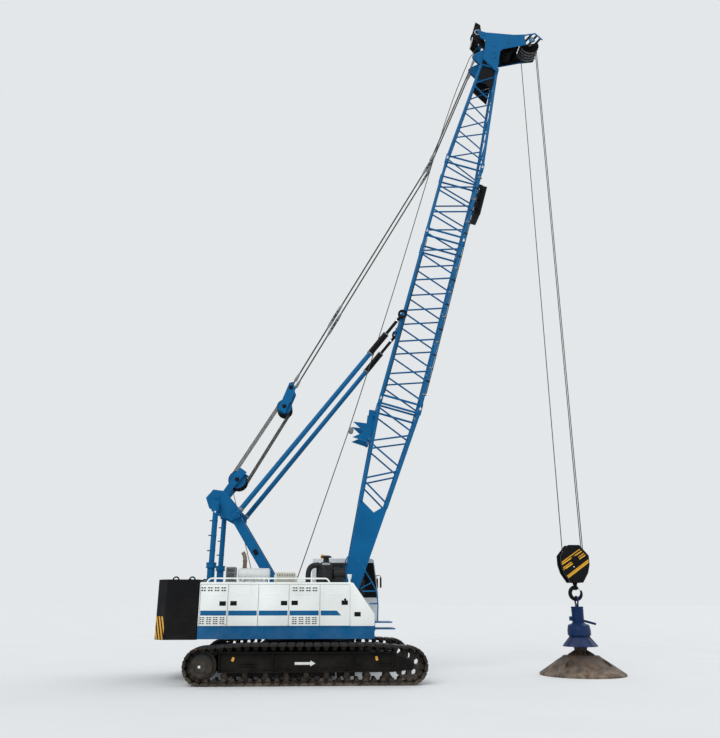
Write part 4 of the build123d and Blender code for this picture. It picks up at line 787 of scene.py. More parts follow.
def door_trim(number, side, seams, stripe_end):
    """Louvres with painted shade in their slots, rib, edges, latch and stripe of one door, as pieces that
    ride on it.
    """
    ending = "_%s_%d" % (SIDE_WORD[side], number)
    body = "door" + ending
    x0, x1 = seams[number - 1] + DOOR_GAP_HALF, seams[number] - DOOR_GAP_HALF
    face = side * HOUSE_Y
    trim = Builder()
    middle, rib_z = (x0 + x1) / 2, 1.975 + 0.006 * number
    rib = [at(x, face - side * 0.0035, rib_z) for x in spread(middle - 0.24, middle + 0.20, RIB_STEPS + 1)]
    trim.tube(rib, [0.004] + [0.0085] * (RIB_STEPS - 1) + [0.004], 8)
    for left, low, tall in louvre_cells(number):
        rows = ((-0.002, 0.006), (0.0098, 0.010), (0.0098, 0.55 * tall - 0.006), (-0.002, tall - 0.006))
        hood = [at(left + 0.007, face + side * proud, low + rise) for proud, rise in rows]
        trim.prism(hood, (LOUVRE_WIDE - 0.014, 0, 0))
    for x, inner in ((x0, x0 + 0.018), (x1, x1 - 0.018)):
        wall_plate(trim, side, x, inner, DOOR_LOW, DOOR_HIGH, 0.0045, 0.002)
    trim.done("door_trim" + ending, white, body, "white_paint")
    if number in GRILLE_XS:
        # Dark boxes under the louvre hoods: painted shade in the slots
        slot_shades = Builder()
        for left, low, tall in louvre_cells(number):
            x, z = left + 0.009, low + 0.002
            wall_plate(slot_shades, side, x, x + LOUVRE_WIDE - 0.018, z, z + 0.44 * tall, 0.0115, 0)
        slot_shades.done("door_slot_shades" + ending, slot_shade_paint, body)
    lock = Builder()
    x = LATCHES[number]
    latch(lock, side, x, 1.775 + 0.005 * number)
    if number == LOCKED_DOOR:
        barrel = [(0, 0.028), (0.0052, 0.024), (0.0052, 0)]
        lock.lathe(at(x + 0.01, face, 1.875), LEFTWARD * side, barrel, 20)
        wall_plate(lock, side, x - 0.004, x + 0.024, 1.82, 1.88, 0.0045, 0.002)
    lock.done("door_latch" + ending, black, body, "black_paint")
    stripe = Builder()
    end_high, end_low = (min(x1, end) for end in stripe_end)
    outline = [(x0, STRIPE_LOW), (end_low, STRIPE_LOW), (end_high, STRIPE_HIGH), (x0, STRIPE_HIGH)]
    stripe.prism(upright(outline, face), (0, side * FILM, 0))
    stripe.done("stripe" + ending, blue, body, "blue_paint")


for number in range(1, 6):
    door_trim(number, RIGHT, RIGHT_SEAMS, (STRIPE_END_HIGH, STRIPE_END_LOW))
for number in range(1, 4):
    door_trim(number, LEFT, LEFT_SEAMS, (math.inf, math.inf))


def front_corner_trim():
    """The fixed front corner of the right housing: its edge seams and its latch."""
    trim = Builder()
    outer = [(1.10, 1.30), (1.47, 1.30), (1.47, 1.66), (1.145, 2.13), (1.10, 2.13)]
    inner = [(1.112, 1.312), (1.458, 1.312), (1.458, 1.655), (1.140, 2.115), (1.112, 2.115)]
    outer, inner = (upright(rows, -HOUSE_Y + 0.001) for rows in (outer, inner))
    trim.border(outer, inner, (0, -0.004, 0))
    trim.done("front_corner_trim", white, "upperworks", "white_paint")
    lock = Builder()
    latch(lock, RIGHT, 1.207, 1.533)
    lock.done("front_corner_latch", black, "upperworks", "black_paint")


front_corner_trim()


def deck_details():
    """Edge folds and seams on the skirts, and a blank mark on the first door."""
    parts = Builder()
    for side in SIDES:
        wall_plate(parts, side, -2.618, 1.618, 1.247, 1.264, 0.010, 0.004)
        wall_plate(parts, side, -2.618, 1.618, 0.972, 0.986, 0.008)
        for x in (-1.21, 0.28):
            wall_plate(parts, side, x - 0.004, x + 0.004, 0.986, 1.247, 0.003, 0.001)
    parts.done("skirt_folds", blue, "upperworks", "blue_paint")
    mark = Builder()
    wall_plate(mark, RIGHT, -1.985, -1.945, 1.285, 1.312, FILM, 0)
    mark.done("door_mark", yellow, "door_right_1")


deck_details()

# Counterweight
WEIGHT_REAR = -3.67
WEIGHT_HALF = 1.50
WEIGHT_CUT = 0.25
WEIGHT_TOP = 2.338
HAZARD_LOW = 0.965
HAZARD_TALL = 0.52
HAZARD_PITCH = 0.115
HAZARD_LEAN = 0.35 * HAZARD_TALL


def hazard_panel(parts, base, across, wide):
    """Slanted bars clipped to an upright panel: base is its low corner, across its direction."""
    panel = [(0, -1), (wide, -1), (wide, 1), (0, 1)]
    normal = across.cross(UP).normalized() * FILM
    for index in range(int((wide + HAZARD_LEAN) / HAZARD_PITCH) + 2):
        left = index * HAZARD_PITCH - HAZARD_LEAN
        right = left + HAZARD_PITCH * 0.5
        bar = [(left, 0), (right, 0), (right - HAZARD_LEAN, HAZARD_TALL), (left - HAZARD_LEAN, HAZARD_TALL)]
        clipped = clip_convex(bar, panel)
        if clipped:
            parts.prism([base + across * x + UP * z for x, z in clipped], normal)


def hazard_stripes():
    """Hazard stripes on the cut corners."""
    stripes = Builder()
    for side in SIDES:
        front = at(WEIGHT_REAR + WEIGHT_CUT, side * WEIGHT_HALF, HAZARD_LOW)
        rear = at(WEIGHT_REAR, side * (WEIGHT_HALF - WEIGHT_CUT), HAZARD_LOW)
        start, end = (rear, front) if side == RIGHT else (front, rear)
        way = end - start
        lift = Vector((-1, side, 0)).normalized() * 0.0005
        hazard_panel(stripes, start + lift, way.normalized(), way.length)
    stripes.done("hazard_stripes", yellow, "upperworks")


hazard_stripes()


def counterweight_details():
    """Slab seams, lifting loops, a roof plate and sockets."""
    parts = Builder()
    for side in SIDES:
        low, high = side * (WEIGHT_HALF - 0.01), side * (WEIGHT_HALF + 0.004)
        for z in (1.500, 1.930):
            parts.box(at(WEIGHT_REAR + WEIGHT_CUT + 0.02, low, z - 0.012), at(-2.66, high, z - 0.004), 0.001)
        y = side * 1.05
        for x in (-3.30, -2.90):
            loop = [at(x + u * 0.07, y, 2.335 + v * 0.075) for u, v in circle(24, 1, 0, 180)]
            parts.tube(loop, 0.018, 10)
            parts.box(at(x - 0.12, y - 0.05, WEIGHT_TOP), at(x + 0.12, y + 0.05, WEIGHT_TOP + 0.014), 0.004)
    parts.box(at(-3.62, -1.22, WEIGHT_TOP), at(-2.68, -0.98, WEIGHT_TOP + 0.0025))
    socket = [(-0.005, 0.045), (0.012, 0.045), (0.016, 0.03), (0.006, 0.026), (0.006, 0)]
    for y in (-0.6, 0.0, 0.6):
        for z in (1.12, 1.75, 2.2):
            parts.lathe(at(WEIGHT_REAR, y, z), -FORWARD, socket, 6)
    parts.done("counterweight_details", black, "upperworks", "black_paint")


counterweight_details()

# Roof fittings
ROOF_Z = 2.265
ROOF_Y = -1.29
RAIL_POSTS = 5


def roof_rails():
    """A low rail with posts and feet on each housing roof."""
    for side, rear, front in ((RIGHT, -2.47, 0.53), (LEFT, -2.47, -0.08)):
        parts = Builder()
        y = side * (HOUSE_Y - 0.06)
        foot, top = ROOF_Z - 0.002, ROOF_Z + 0.10
        corners = ((rear, foot), (rear + 0.07, top), (front - 0.07, top), (front, foot))
        parts.rail(upright(corners, y), 0.020)
        posts = spread(rear, front, RAIL_POSTS)
        for x in posts[1:-1]:
            parts.tube([at(x, y, foot), at(x, y, top)], 0.015, 10)
        for x in posts:
            parts.lathe(at(x, y, foot), UP, [(0, 0.036), (0.008, 0.036), (0.011, 0.022)], 16)
        piece = parts.done("roof_rail_" + SIDE_WORD[side], white, "upperworks", "white_paint")
        if side == RIGHT:
            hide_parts("roof_rails")


roof_rails()


def corner_lamp():
    """The lamp at the front corner of the right roof."""
    lamp = Builder()
    profile = [(0, 0.045), (0.012, 0.045), (0.018, 0.026), (0.07, 0.026), (0.085, 0.040), (0.19, 0.060)]
    profile += [(0.20, 0.060), (0.204, 0.054), (0.204, 0)]
    lamp.lathe(at(1.012, ROOF_Y - 0.15, ROOF_Z), UP, profile)
    lamp.done("corner_lamp", cab_white, "upperworks", "white_paint")


corner_lamp()

SILENCER = [(0.0, 0.0), (0.0, 0.10), (0.012, 0.135), (0.04, 0.150), (0.20, 0.150), (0.205, 0.154)]
SILENCER += [(0.235, 0.154), (0.24, 0.150), (0.54, 0.150), (0.545, 0.154), (0.575, 0.154), (0.58, 0.150)]
SILENCER += [(0.74, 0.150), (0.768, 0.135), (0.78, 0.10), (0.78, 0.0)]
PIPE_X = -1.60


def silencer():
    """The silver silencer on its feet, and the curved exhaust pipe with its clamps."""
    parts = Builder()
    parts.lathe(at(-1.74, ROOF_Y, 2.465), FORWARD, SILENCER, 48)
    for x in (-1.61, -1.09):
        for y in (ROOF_Y - 0.12, ROOF_Y + 0.12):
            parts.box(at(x - 0.03, y - 0.02, ROOF_Z), at(x + 0.03, y + 0.02, 2.40), 0.004)
        parts.box(at(x - 0.04, ROOF_Y - 0.15, ROOF_Z), at(x + 0.04, ROOF_Y + 0.15, ROOF_Z + 0.012), 0.003)
    piece = parts.done("silencer", silver_coat, "upperworks", "heat_silver")
    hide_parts("muffler")
    pipe = Builder()
    y = ROOF_Y + 0.09
    rows = ((PIPE_X, 2.585), (PIPE_X, 2.72), (PIPE_X, 2.83), (-1.612, 2.90), (-1.632, 2.955), (-1.665, 3.005))
    line = smooth_line(upright(rows, y), 5)
    for radius in (0.050, 0.044):
        pipe.tube(line, radius, 24, ends=False)
    pipe.lathe(at(PIPE_X, y, 2.60), UP, [(0.0, 0.066), (0.03, 0.066), (0.034, 0.052)], 24)
    pipe.lathe(at(PIPE_X, y, 2.78), UP, [(0.0, 0.053), (0.004, 0.058), (0.028, 0.058), (0.032, 0.053)], 24)
    piece = pipe.done("exhaust_pipe", pipe_rust, "upperworks", "rusty_pipe")
    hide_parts("exhaust_stack")


silencer()

COOLER_FINS = 13


def finned_cooler():
    """The cooler on the roof: two tanks, upright fins, cross tubes and end plates."""
    parts = Builder()
    x0, x1 = -2.035, -1.795
    y0, y1 = ROOF_Y - 0.16, ROOF_Y + 0.205
    parts.box(at(x0, y0, ROOF_Z), at(x1, y1, ROOF_Z + 0.05), 0.006)
    parts.box(at(x0 + 0.01, y0, 2.60), at(x1 - 0.01, y1, 2.640), 0.008)
    for x in spread(x0 + 0.012, x1 - 0.016, COOLER_FINS):
        parts.box(at(x, y0 + 0.01, ROOF_Z + 0.04), at(x + 0.006, y1 - 0.01, 2.61))
    for y in (y0 + 0.02, (y0 + y1) / 2, y1 - 0.03):
        for z in (2.38, 2.50):
            parts.tube([at(x0 + 0.004, y, z), at(x1 - 0.004, y, z)], 0.011, 10)
    for x in (x0 + 0.004, x1 - 0.024):
        parts.box(at(x, y0 + 0.004, ROOF_Z + 0.03), at(x + 0.02, y1 - 0.004, 2.625), 0.003)
    piece = parts.done("finned_cooler", grey_coat, "upperworks", "grey_paint")
    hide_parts("roof_cooler")


finned_cooler()

VENT_SLOTS = 11
VENT_SLATS = 5
VENT_PITCH = 0.041


def vent_housing():
    """The cream vent box with upright slots, painted shade in them, and low slats."""
    parts, slot_shades = Builder(), Builder()
    x0, x1 = -0.85, -0.29
    y0, y1 = ROOF_Y - 0.15, ROOF_Y + 0.20
    foot, top = ROOF_Z, 2.518
    outline = [(x0, foot), (x1, foot), (x1, foot + 0.15), (x1 - 0.05, top), (x0 + 0.05, top)]
    outline += [(x0, foot + 0.17)]
    parts.prism(upright(outline, y0 + 0.012), (0, y1 - y0 - 0.024, 0))
    for index in range(VENT_SLOTS):
        x = x0 + 0.075 + index * VENT_PITCH
        parts.box(at(x, y0 - 0.001, 2.408), at(x + 0.022, y0 + 0.014, 2.490), 0.003)
        # A dark box in each slot: painted shade
        slot_shades.box(at(x + 0.004, y0 - 0.0025, 2.414), at(x + 0.018, y0 + 0.002, 2.484))
    for index in range(VENT_SLATS):
        z = foot + 0.035 + index * 0.024
        parts.box(at(x0 + 0.06, y0, z), at(x1 - 0.06, y0 + 0.014, z + 0.011), 0.002)
    parts.box(at(x0 - 0.002, y0, foot), at(x1 + 0.002, y1, foot + 0.018), 0.004)
    for x in (x0 + 0.1, x1 - 0.1):
        parts.lathe(at(x, (y0 + y1) / 2, top - 0.002), UP, [(0, 0.02), (0.006, 0.02), (0.006, 0)], 12)
    piece = parts.done("vent_housing", cream, "upperworks", "white_paint")
    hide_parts("vent_box")
    slot_shades.done("vent_slot_shades", slot_shade_paint, "upperworks")


vent_housing()

INTAKE_X = 0.432
INTAKE_Y = ROOF_Y + 0.04
CANISTER = [(0.0, 0.150), (0.05, 0.160), (0.06, 0.186), (0.30, 0.186), (0.305, 0.180), (0.345, 0.180)]
CANISTER += [(0.35, 0.188), (0.42, 0.188), (0.44, 0.178), (0.48, 0.150), (0.495, 0.120), (0.515, 0.075)]
CANISTER += [(0.60, 0.070), (0.605, 0.075), (0.612, 0.140), (0.628, 0.138), (0.650, 0.118), (0.665, 0.080)]
CANISTER += [(0.670, 0.0)]
DRUM = [(0.0, 0.0), (0.0, 0.10), (0.012, 0.120), (0.27, 0.122), (0.275, 0.128), (0.30, 0.128), (0.305, 0.118)]
DRUM += [(0.32, 0.0)]
INTAKE_HOSE = ((-0.012, ROOF_Z), (-0.012, 2.40), (-0.008, 2.52), (0.03, 2.625), (0.10, 2.68), (0.18, 2.692))
INTAKE_HOSE += ((0.262, 2.69),)


def air_intake():
    """The air cleaner: upright can, hose, lying drum on its block, clamps and a blank plate."""
    x, y = INTAKE_X, INTAKE_Y
    parts = Builder()
    parts.lathe(at(x, y, ROOF_Z), UP, CANISTER, 48)
    line = smooth_line([at(hose_x, y, z) for hose_x, z in INTAKE_HOSE])
    parts.tube(line, [0.066 + 0.003 * math.cos(index * 2.1) for index in range(len(line))], 24)
    parts.band(at(-0.012, y, 2.36), UP, 0.012, 0.070, 0.004, 24)
    parts.band(at(0.215, y, 2.692), FORWARD, 0.012, 0.070, 0.004, 24)
    parts.tube([at(0.57, y, 2.72), at(0.70, y, 2.722), at(0.955, y, 2.722)], 0.036, 20)
    parts.lathe(at(0.615, y, 2.495), FORWARD, DRUM, 40)
    parts.box(at(0.66, y - 0.09, ROOF_Z), at(0.88, y + 0.09, 2.40), 0.01)
    parts.tube([at(0.60, y - 0.10, 2.35), at(0.70, y - 0.12, 2.33), at(0.90, y - 0.12, 2.30)], 0.014, 10)
    for z in (2.40, 2.66):
        parts.band(at(x, y, z), UP, 0.012, 0.188, 0.004, 48)
        parts.box(at(x - 0.02, y - 0.207, z - 0.02), at(x + 0.02, y - 0.186, z + 0.02), 0.004)
    piece = parts.done("air_intake", rubber, "upperworks", "black_paint")
    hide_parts("air_cleaner")
    plate = Builder()
    bow = math.degrees(0.55)
    outer = circle(10, 0.1892, -90 - bow, -90 + bow)
    inner = circle(10, 0.1875, -90 + bow, -90 - bow)
    plate.prism([at(x + u, y + v, 2.695) for u, v in outer + inner], (0, 0, 0.05))
    plate.done("intake_plate", shade_grey, "upperworks")


air_intake()

HANDRAIL_Y = -1.22
HANDRAIL = ((0.935, ROOF_Z), (0.91, 2.78), (0.985, 2.925), (1.13, 2.925), (1.33, 2.70), (1.575, 2.31))
HANDRAIL += ((1.705, 2.07), (1.735, 1.76), (1.72, 1.37))
HANDRAIL_BARS = (
    ((1.30, 2.13), (1.585, 2.285)),
    ((1.34, 2.075), (1.70, 2.075)),
    ((1.52, 1.775), (1.733, 1.782)),
)


def corner_handrail():
    """The blue hoop beside the boom foot, and the rails down to the front steps."""
    parts = Builder()
    y = HANDRAIL_Y
    parts.rail(upright(HANDRAIL, y), 0.016, bend=0.09)
    for bar in HANDRAIL_BARS:
        parts.tube(upright(bar, y), 0.014, 10)
    parts.tube([at(0.99, y, 2.30), at(0.99, y, 2.62), at(0.93, y, 2.62)], 0.012, 10)
    for z, rear, front in ((2.072, 1.36, 1.62), (1.772, 1.53, 1.70)):
        parts.box(at(rear, y - 0.05, z - 0.012), at(front, y + 0.16, z + 0.008), 0.004)
    parts.done("corner_handrail", blue, "upperworks", "blue_paint")


corner_handrail()

HOOD_TOP = 2.235


def rear_hood():
    """Louvres, handles and lid seams on the hood across the deck."""
    parts = Builder()
    for y in (-0.72, 0.23):
        for index in range(9):
            x = -2.20 + index * 0.09
            rows = ((0, -0.001), (0.012, 0.013), (0.05, -0.001))
            parts.prism([at(x + shift, y, HOOD_TOP + rise) for shift, rise in rows], (0, 0.5, 0))
    for y in (-1.03, -0.005, 1.02):
        parts.box(at(-2.31, y - 0.006, HOOD_TOP - 0.001), at(-1.34, y + 0.006, HOOD_TOP + 0.004), 0.002)
    for y in (-0.5, 0.5):
        corners = ((-0.09, 0), (-0.09, 0.05), (0.09, 0.05), (0.09, 0))
        parts.rail([at(-1.40, y + shift, HOOD_TOP + rise) for shift, rise in corners], 0.009, 0.02, 8)
    for y in (-0.6, 0.35):
        for index in range(8):
            z = 1.45 + index * 0.085
            parts.prism([at(-1.331, y, z), at(-1.317, y, z + 0.006), at(-1.331, y, z + 0.05)], (0, 0.42, 0))
    parts.done("hood_louvres", white, "upperworks", "white_paint")


rear_hood()


def roof_plates():
    """Lid seams, edge strips and non-slip patches on both housing roofs."""
    seams, grip = Builder(), Builder()
    low, high = ROOF_Z - 0.001, ROOF_Z + 0.004
    for side, front in ((RIGHT, 1.06), (LEFT, 0.0)):
        for x in RIGHT_SEAMS[1:-1]:
            if x < front:
                seams.box(at(x - 0.008, side * 1.06, low), at(x + 0.008, side * 1.545, high), 0.0015)
        seams.box(at(-2.60, side * 1.52, low), at(front, side * 1.545, ROOF_Z + 0.012), 0.003)
    seams.done("roof_seams", white, "upperworks", "white_paint")
    patches = ((RIGHT, -2.55, -2.12), (LEFT, -2.5, -1.98), (LEFT, -1.88, -1.26), (LEFT, -1.14, -0.52))
    for side, x0, x1 in patches:
        grip.box(at(x0, side * 1.12, ROOF_Z), at(x1, side * 1.46, ROOF_Z + 0.003), 0.001)
    grip.done("roof_grip", rubber, "upperworks")


roof_plates()

# Rigging
FALL_X = 7.2016
HEAD_Z = 20.0588
BLOCK_Z = 2.90
MEET_Z = 17.5
SHEAVE_REACH = 0.276
FALL_YS = (-0.06, 0.0, 0.06)
FALLS = ((-SHEAVE_REACH, 0.0), (SHEAVE_REACH, -0.06), (SHEAVE_REACH, 0.06))
FALL_RADIUS = 0.0125
HOIST_RADIUS = 0.013
LUFF_RADIUS = 0.0095
HOIST_LEAVES = (-0.545, 1.715)
BRACKET_ROLLER = (4.51, -1.20)
ROPE_LINE = (BRACKET_ROLLER, (9.1, -1.06), (15.5, -0.95), (18.25, -0.745))
ROPE_END = (ROPE_LINE[-1], (19.0, -0.52), (19.55, 1.03))
TACKLE_LOW = (-2.0, 4.98)
TACKLE_HIGH = (-0.79, 7.05)
TACKLE_YS = (-0.24, -0.12, 0.0, 0.12, 0.24)
TACKLE_LOW_REACH = 0.222
TACKLE_HIGH_REACH = 0.192


def hoist_falls():
    """The falls in two stretches, and their wraps."""
    for name, high, low, above, below in (
        ("falls_upper", HEAD_Z, MEET_Z, "head_sheaves", "falls"),
        ("falls_lower", MEET_Z, BLOCK_Z, "falls", "hook_block"),
    ):
        parts = Builder()
        for reach, y in FALLS:
            parts.tube([at(FALL_X + reach, y, high), at(FALL_X + reach, y, low)], FALL_RADIUS, 10)
        piece = parts.done(name, rope, None, "rope_steel")
        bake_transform(piece)
        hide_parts("hoist_falls")
    for name, body, z, wraps in (
        ("head_rope_wraps", "head_sheaves", HEAD_Z, ((-0.06, 0, 128), (0.06, 0, 128), (0.0, 180, 60))),
        ("block_rope_wraps", "hook_block", BLOCK_Z, [(y, 0, -180) for y in FALL_YS]),
    ):
        parts = Builder()
        for y, first, last in wraps:
            parts.tube(arc(FALL_X, y, z, SHEAVE_REACH, first, last), FALL_RADIUS, 10)
        parts.done(name, rope, body, "rope_steel")


hoist_falls()


def hoist_rope():
    """The hoist rope from its winch, over the bracket, along the boom's back to the head."""
    start, end = at(HOIST_LEAVES[0], 0, HOIST_LEAVES[1]), on_boom(BRACKET_ROLLER[0], 0, BRACKET_ROLLER[1])
    parts = Builder()
    parts.tube([start, end], HOIST_RADIUS, 10)
    piece = parts.done("hoist_rope_lower", rope, None, "rope_steel")
    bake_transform(piece)
    parts = Builder()
    parts.tube(smooth_line(boom_line(ROPE_LINE, 0), 6), HOIST_RADIUS, 10)
    parts.tube(boom_line(ROPE_END, 0), HOIST_RADIUS, 10)
    parts.done("hoist_rope", rope, "boom", "rope_steel")
    guides = Builder()
    for s, t, reach in ((BRACKET_ROLLER[0], -1.135, 0.05), (18.98, -0.455, 0.06)):
        rim = reach + 0.02
        roller = [(0, rim), (0.012, rim), (0.03, reach), (0.23, reach), (0.248, rim), (0.26, rim)]
        guides.lathe(on_boom(s, -0.13, t), LEFTWARD, roller, 24)
    guides.done("rope_rollers", grey_coat, "boom", "grey_paint")


hoist_rope()


def luffing_tackle():
    """The many parts of rope between the luffing block and the spreader, and their lead from the winch."""
    low, high = Vector(TACKLE_LOW), Vector(TACKLE_HIGH)
    along = (high - low).normalized()
    side = Vector((-along.y, along.x))
    parts = Builder()
    for y in TACKLE_YS:
        for sign in SIDES:
            a, b = low + side * sign * TACKLE_LOW_REACH, high + side * sign * TACKLE_HIGH_REACH
            parts.tube([at(a.x, y, a.y), at(b.x, y, b.y)], LUFF_RADIUS, 8)
    piece = parts.done("tackle_ropes", rope, None, "rope_steel")
    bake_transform(piece)
    angle = math.degrees(math.atan2(along.y, along.x))
    for name, body, end, reach, first in (
        ("tackle_wraps_low", "stay_swing", low, TACKLE_LOW_REACH, angle + 90),
        ("tackle_wraps_high", "stay_reach", high, TACKLE_HIGH_REACH, angle - 90),
    ):
        wraps = Builder()
        for y in TACKLE_YS:
            wraps.tube(arc(end.x, y, end.y, reach, first, first + 180, 18), LUFF_RADIUS, 8)
        wraps.done(name, rope, body, "rope_steel")
    start, end = at(-1.235, 0.10, 1.56), at(-2.215, 0.24, 4.93)
    lead = Builder()
    lead.tube([start, end], LUFF_RADIUS, 8)
    piece = lead.done("tackle_lead", rope, None, "rope_steel")
    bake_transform(piece)


luffing_tackle()

# Each winch drum as the place of its axis, the rope's reach, half its width and the rope's radius
HOIST_DRUM, LUFF_DRUM = (0.232, 0.25, HOIST_RADIUS), (0.152, 0.22, LUFF_RADIUS)
DRUMS = ((-0.06, 1.64, *HOIST_DRUM), (-0.76, 1.64, *HOIST_DRUM), (-1.09, 1.52, *LUFF_DRUM))
# The step from one turn to the next, in radii of the rope
LAY_PITCH = 2.05
TURN_STEPS = 16


def winch_ropes():
    """Layers of rope on the drums."""
    parts = Builder()
    for x, z, reach, half, radius in DRUMS:
        turns = int(2 * half / (radius * LAY_PITCH))
        line = circle(turns * TURN_STEPS, reach, 0, 360 * turns)
        ys = spread(-half, half, len(line))
        parts.tube([at(x + u, y, z + v) for (u, v), y in zip(line, ys)], radius, 6)
    parts.done("drum_ropes", rope, "upperworks", "rope_steel")


winch_ropes()

PENDANTS = [Vector(spot) for spot in ((-0.59, 7.65), (0.60, 9.80), (3.534, 15.071), (5.2473, 19.3575))]
PENDANT_Y = 0.33
SOCKET = [(0, 0.036), (0.02, 0.046), (0.13, 0.042), (0.24, 0.030), (0.27, 0.0225)]
LINK_WAY = Vector((0.51, 0.86))


def pendant_sockets():
    """Sockets and pins where the pendant strands meet their links."""
    parts = Builder()
    for y in (-PENDANT_Y, PENDANT_Y):
        for a, b in zip(PENDANTS, PENDANTS[1:]):
            for end, other in ((a, b), (b, a)):
                along = (other - end).normalized()
                spot = end + along * 0.17
                parts.lathe(at(spot.x, y, spot.y), (along.x, 0, along.y), SOCKET, 20)
        for link_middle in PENDANTS[1:3]:
            for shift in (-0.1, 0.1):
                spot = link_middle + LINK_WAY * shift
                pin = [(0, 0.026), (0.01, 0.03), (0.11, 0.03), (0.12, 0.026)]
                parts.lathe(at(spot.x, y - 0.06, spot.y), LEFTWARD, pin, 16)
    parts.done("pendant_sockets", grey_coat, "stay_reach", "grey_paint")


pendant_sockets()

# Hook block, hook, release device and hammer
CHEEK = mirrored([(0.17, 2.31), (0.33, 2.56), (0.39, 2.78), (0.39, 3.02), (0.15, 3.30)])
CHEEK_MIDDLE = 2.80
CHEEK_INSET = 0.955
CHEEK_FACE = 0.175
# Each stripe as its upper and lower ends at the left, then at the right
BLOCK_STRIPES = (
    ((-0.45, 2.80), (-0.45, 2.715), (0.148, 3.195), (0.215, 3.125)),
    ((-0.45, 2.64), (-0.45, 2.555), (0.258, 3.09), (0.305, 3.02)),
    ((-0.45, 2.36), (-0.45, 2.27), (0.45, 2.975), (0.45, 2.885)),
)
BLOCK_BOLTS = [(0.30, 2.65), (0.33, 3.00), (0.12, 3.24), (0.14, 2.37)]
BLOCK_CAP = [(-0.02, 0.112), (0.002, 0.112), (0.006, 0.106), (0.006, 0.07), (0.016, 0.062), (0.018, 0.02)]
BLOCK_CAP += [(0.018, 0)]


def on_cheek(points, y):
    return [at(FALL_X + x, y, z) for x, z in points]


def hook_block_details():
    """Stripes, thin dark lines, cheek edges, bolts and spacers of the hook block."""
    inset = [(x * CHEEK_INSET, CHEEK_MIDDLE + (z - CHEEK_MIDDLE) * CHEEK_INSET) for x, z in CHEEK]
    stripes, lines, parts, pin = Builder(), Builder(), Builder(), Builder()
    for side in SIDES:
        face = side * CHEEK_FACE
        outward = LEFTWARD * side
        for upper, lower, upper_end, lower_end in BLOCK_STRIPES:
            thin = [
                (upper[0], upper[1] * 0.62 + lower[1] * 0.38),
                (upper_end[0], upper_end[1] * 0.62 + lower_end[1] * 0.38),
                (lower_end[0], upper_end[1] * 0.52 + lower_end[1] * 0.48),
                (lower[0], upper[1] * 0.52 + lower[1] * 0.48),
            ]
            wide = [upper, upper_end, lower_end, lower]
            for target, shape, thick in ((stripes, wide, 0.0012), (lines, thin, 0.0016)):
                cut = clip_convex(shape, inset)
                if cut:
                    target.prism(on_cheek(cut, face), outward * thick)
        sunk = face - side * 0.001
        parts.border(on_cheek(CHEEK, sunk), on_cheek(inset, sunk), outward * 0.005)
        parts.lathe(at(FALL_X, side * 0.197, BLOCK_Z), outward, BLOCK_CAP, 40)
        for u, v in circle(6, 0.088, 15):
            spot = at(FALL_X + u, side * 0.2, BLOCK_Z + v)
            parts.bolt(spot, outward, 0.011, 0.009, 0.011, 0.007, flat=True)
        for spot in on_cheek(mirrored(BLOCK_BOLTS), face):
            parts.bolt(spot, outward, 0.022, 0.014, 0.018, 0.015, flat=True)
        pin_head = [(0, 0.018), (0.016, 0.017), (0.02, 0.010), (0.02, 0)]
        pin.lathe(at(FALL_X - 0.05, face, 2.72), outward, pin_head, 16)
    for x, z in mirrored(BLOCK_BOLTS[:3]):
        parts.tube([at(FALL_X + x, -0.15, z), at(FALL_X + x, 0.15, z)], 0.016, 12)
    parts.lathe(at(FALL_X, 0, 2.305), UP, [(-0.004, 0.09), (0.004, 0.10), (0.006, 0.10), (0.006, 0.0)])
    stripes.done("block_stripes", yellow, "hook_block")
    lines.done("block_stripe_lines", black, "hook_block")
    parts.done("hook_block_details", black, "hook_block", "black_paint")
    pin.done("block_pin", chrome, "hook_block", "rod_chrome")


hook_block_details()

HOOK_Z = 2.04
HOOK_REACH = 0.155
HOOK_THICK = 0.0515
HOOK_STEPS = 48
HOOK_BACK, HOOK_POINT = 90, 380
HOOK_TAPER_FROM = 0.66
HOOK_TAPER = 0.024
HOOK_SHANK = [(0.0, 0.045), (0.03, 0.058), (0.10, 0.058), (0.11, 0.050), (0.135, 0.050), (0.14, 0.0595)]
HOOK_SHANK += [(0.175, 0.0595), (0.1895, 0.054)]


def forged_hook():
    """The hook's round bend thins to its point; a latch closes the opening."""
    parts = Builder()
    parts.lathe(at(FALL_X, 0, 2.12), UP, HOOK_SHANK)
    line = arc(FALL_X, 0, HOOK_Z, HOOK_REACH, HOOK_BACK, HOOK_POINT, HOOK_STEPS)
    tapered = [max(0.0, share - HOOK_TAPER_FROM) / (1 - HOOK_TAPER_FROM) for share in spread(0, 1, len(line))]
    parts.tube(line, [HOOK_THICK - HOOK_TAPER * share**1.4 for share in tapered], 24)
    angle = math.radians(HOOK_POINT)
    point = [(-0.004, 0.0272), (0.012, 0.024), (0.022, 0.014), (0.026, 0.0)]
    parts.lathe(line[-1], (-math.sin(angle), 0, math.cos(angle)), point, 24)
    for y in (-0.03, 0.025):
        parts.box(at(FALL_X + 0.045, y, 2.148), at(FALL_X + 0.075, y + 0.005, 2.205), 0.001)
    piece = parts.done("forged_hook", black, "hook_load", "black_paint")
    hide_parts("hook")
    lever = Builder()
    rows = ((0.062, 2.18), (0.10, 2.145), (0.148, 2.088))
    lever.tube([at(FALL_X + x, 0, z) for x, z in rows], [0.014, 0.016, 0.011], 10)
    lever.done("hook_latch", cream, "hook_load", "white_paint")


forged_hook()


def radial_fins(parts, angles, rows, half):
    """Upright fins round the load's axis, their outline given as (reach, height) rows."""
    for u, v in angles:
        across = Vector((-v, u, 0)) * half
        outline = [at(FALL_X + u * reach, v * reach, z) - across for reach, z in rows]
        parts.prism(outline, across * 2)


DEVICE_BANDS = ((1.02, 0.304), (1.085, 0.303), (1.36, 0.162), (1.60, 0.162), (1.672, 0.165))
DEVICE_FIN = ((0.447, 0.706), (0.452, 0.716), (0.262, 0.945), (0.296, 0.985), (0.240, 0.985), (0.238, 0.935))


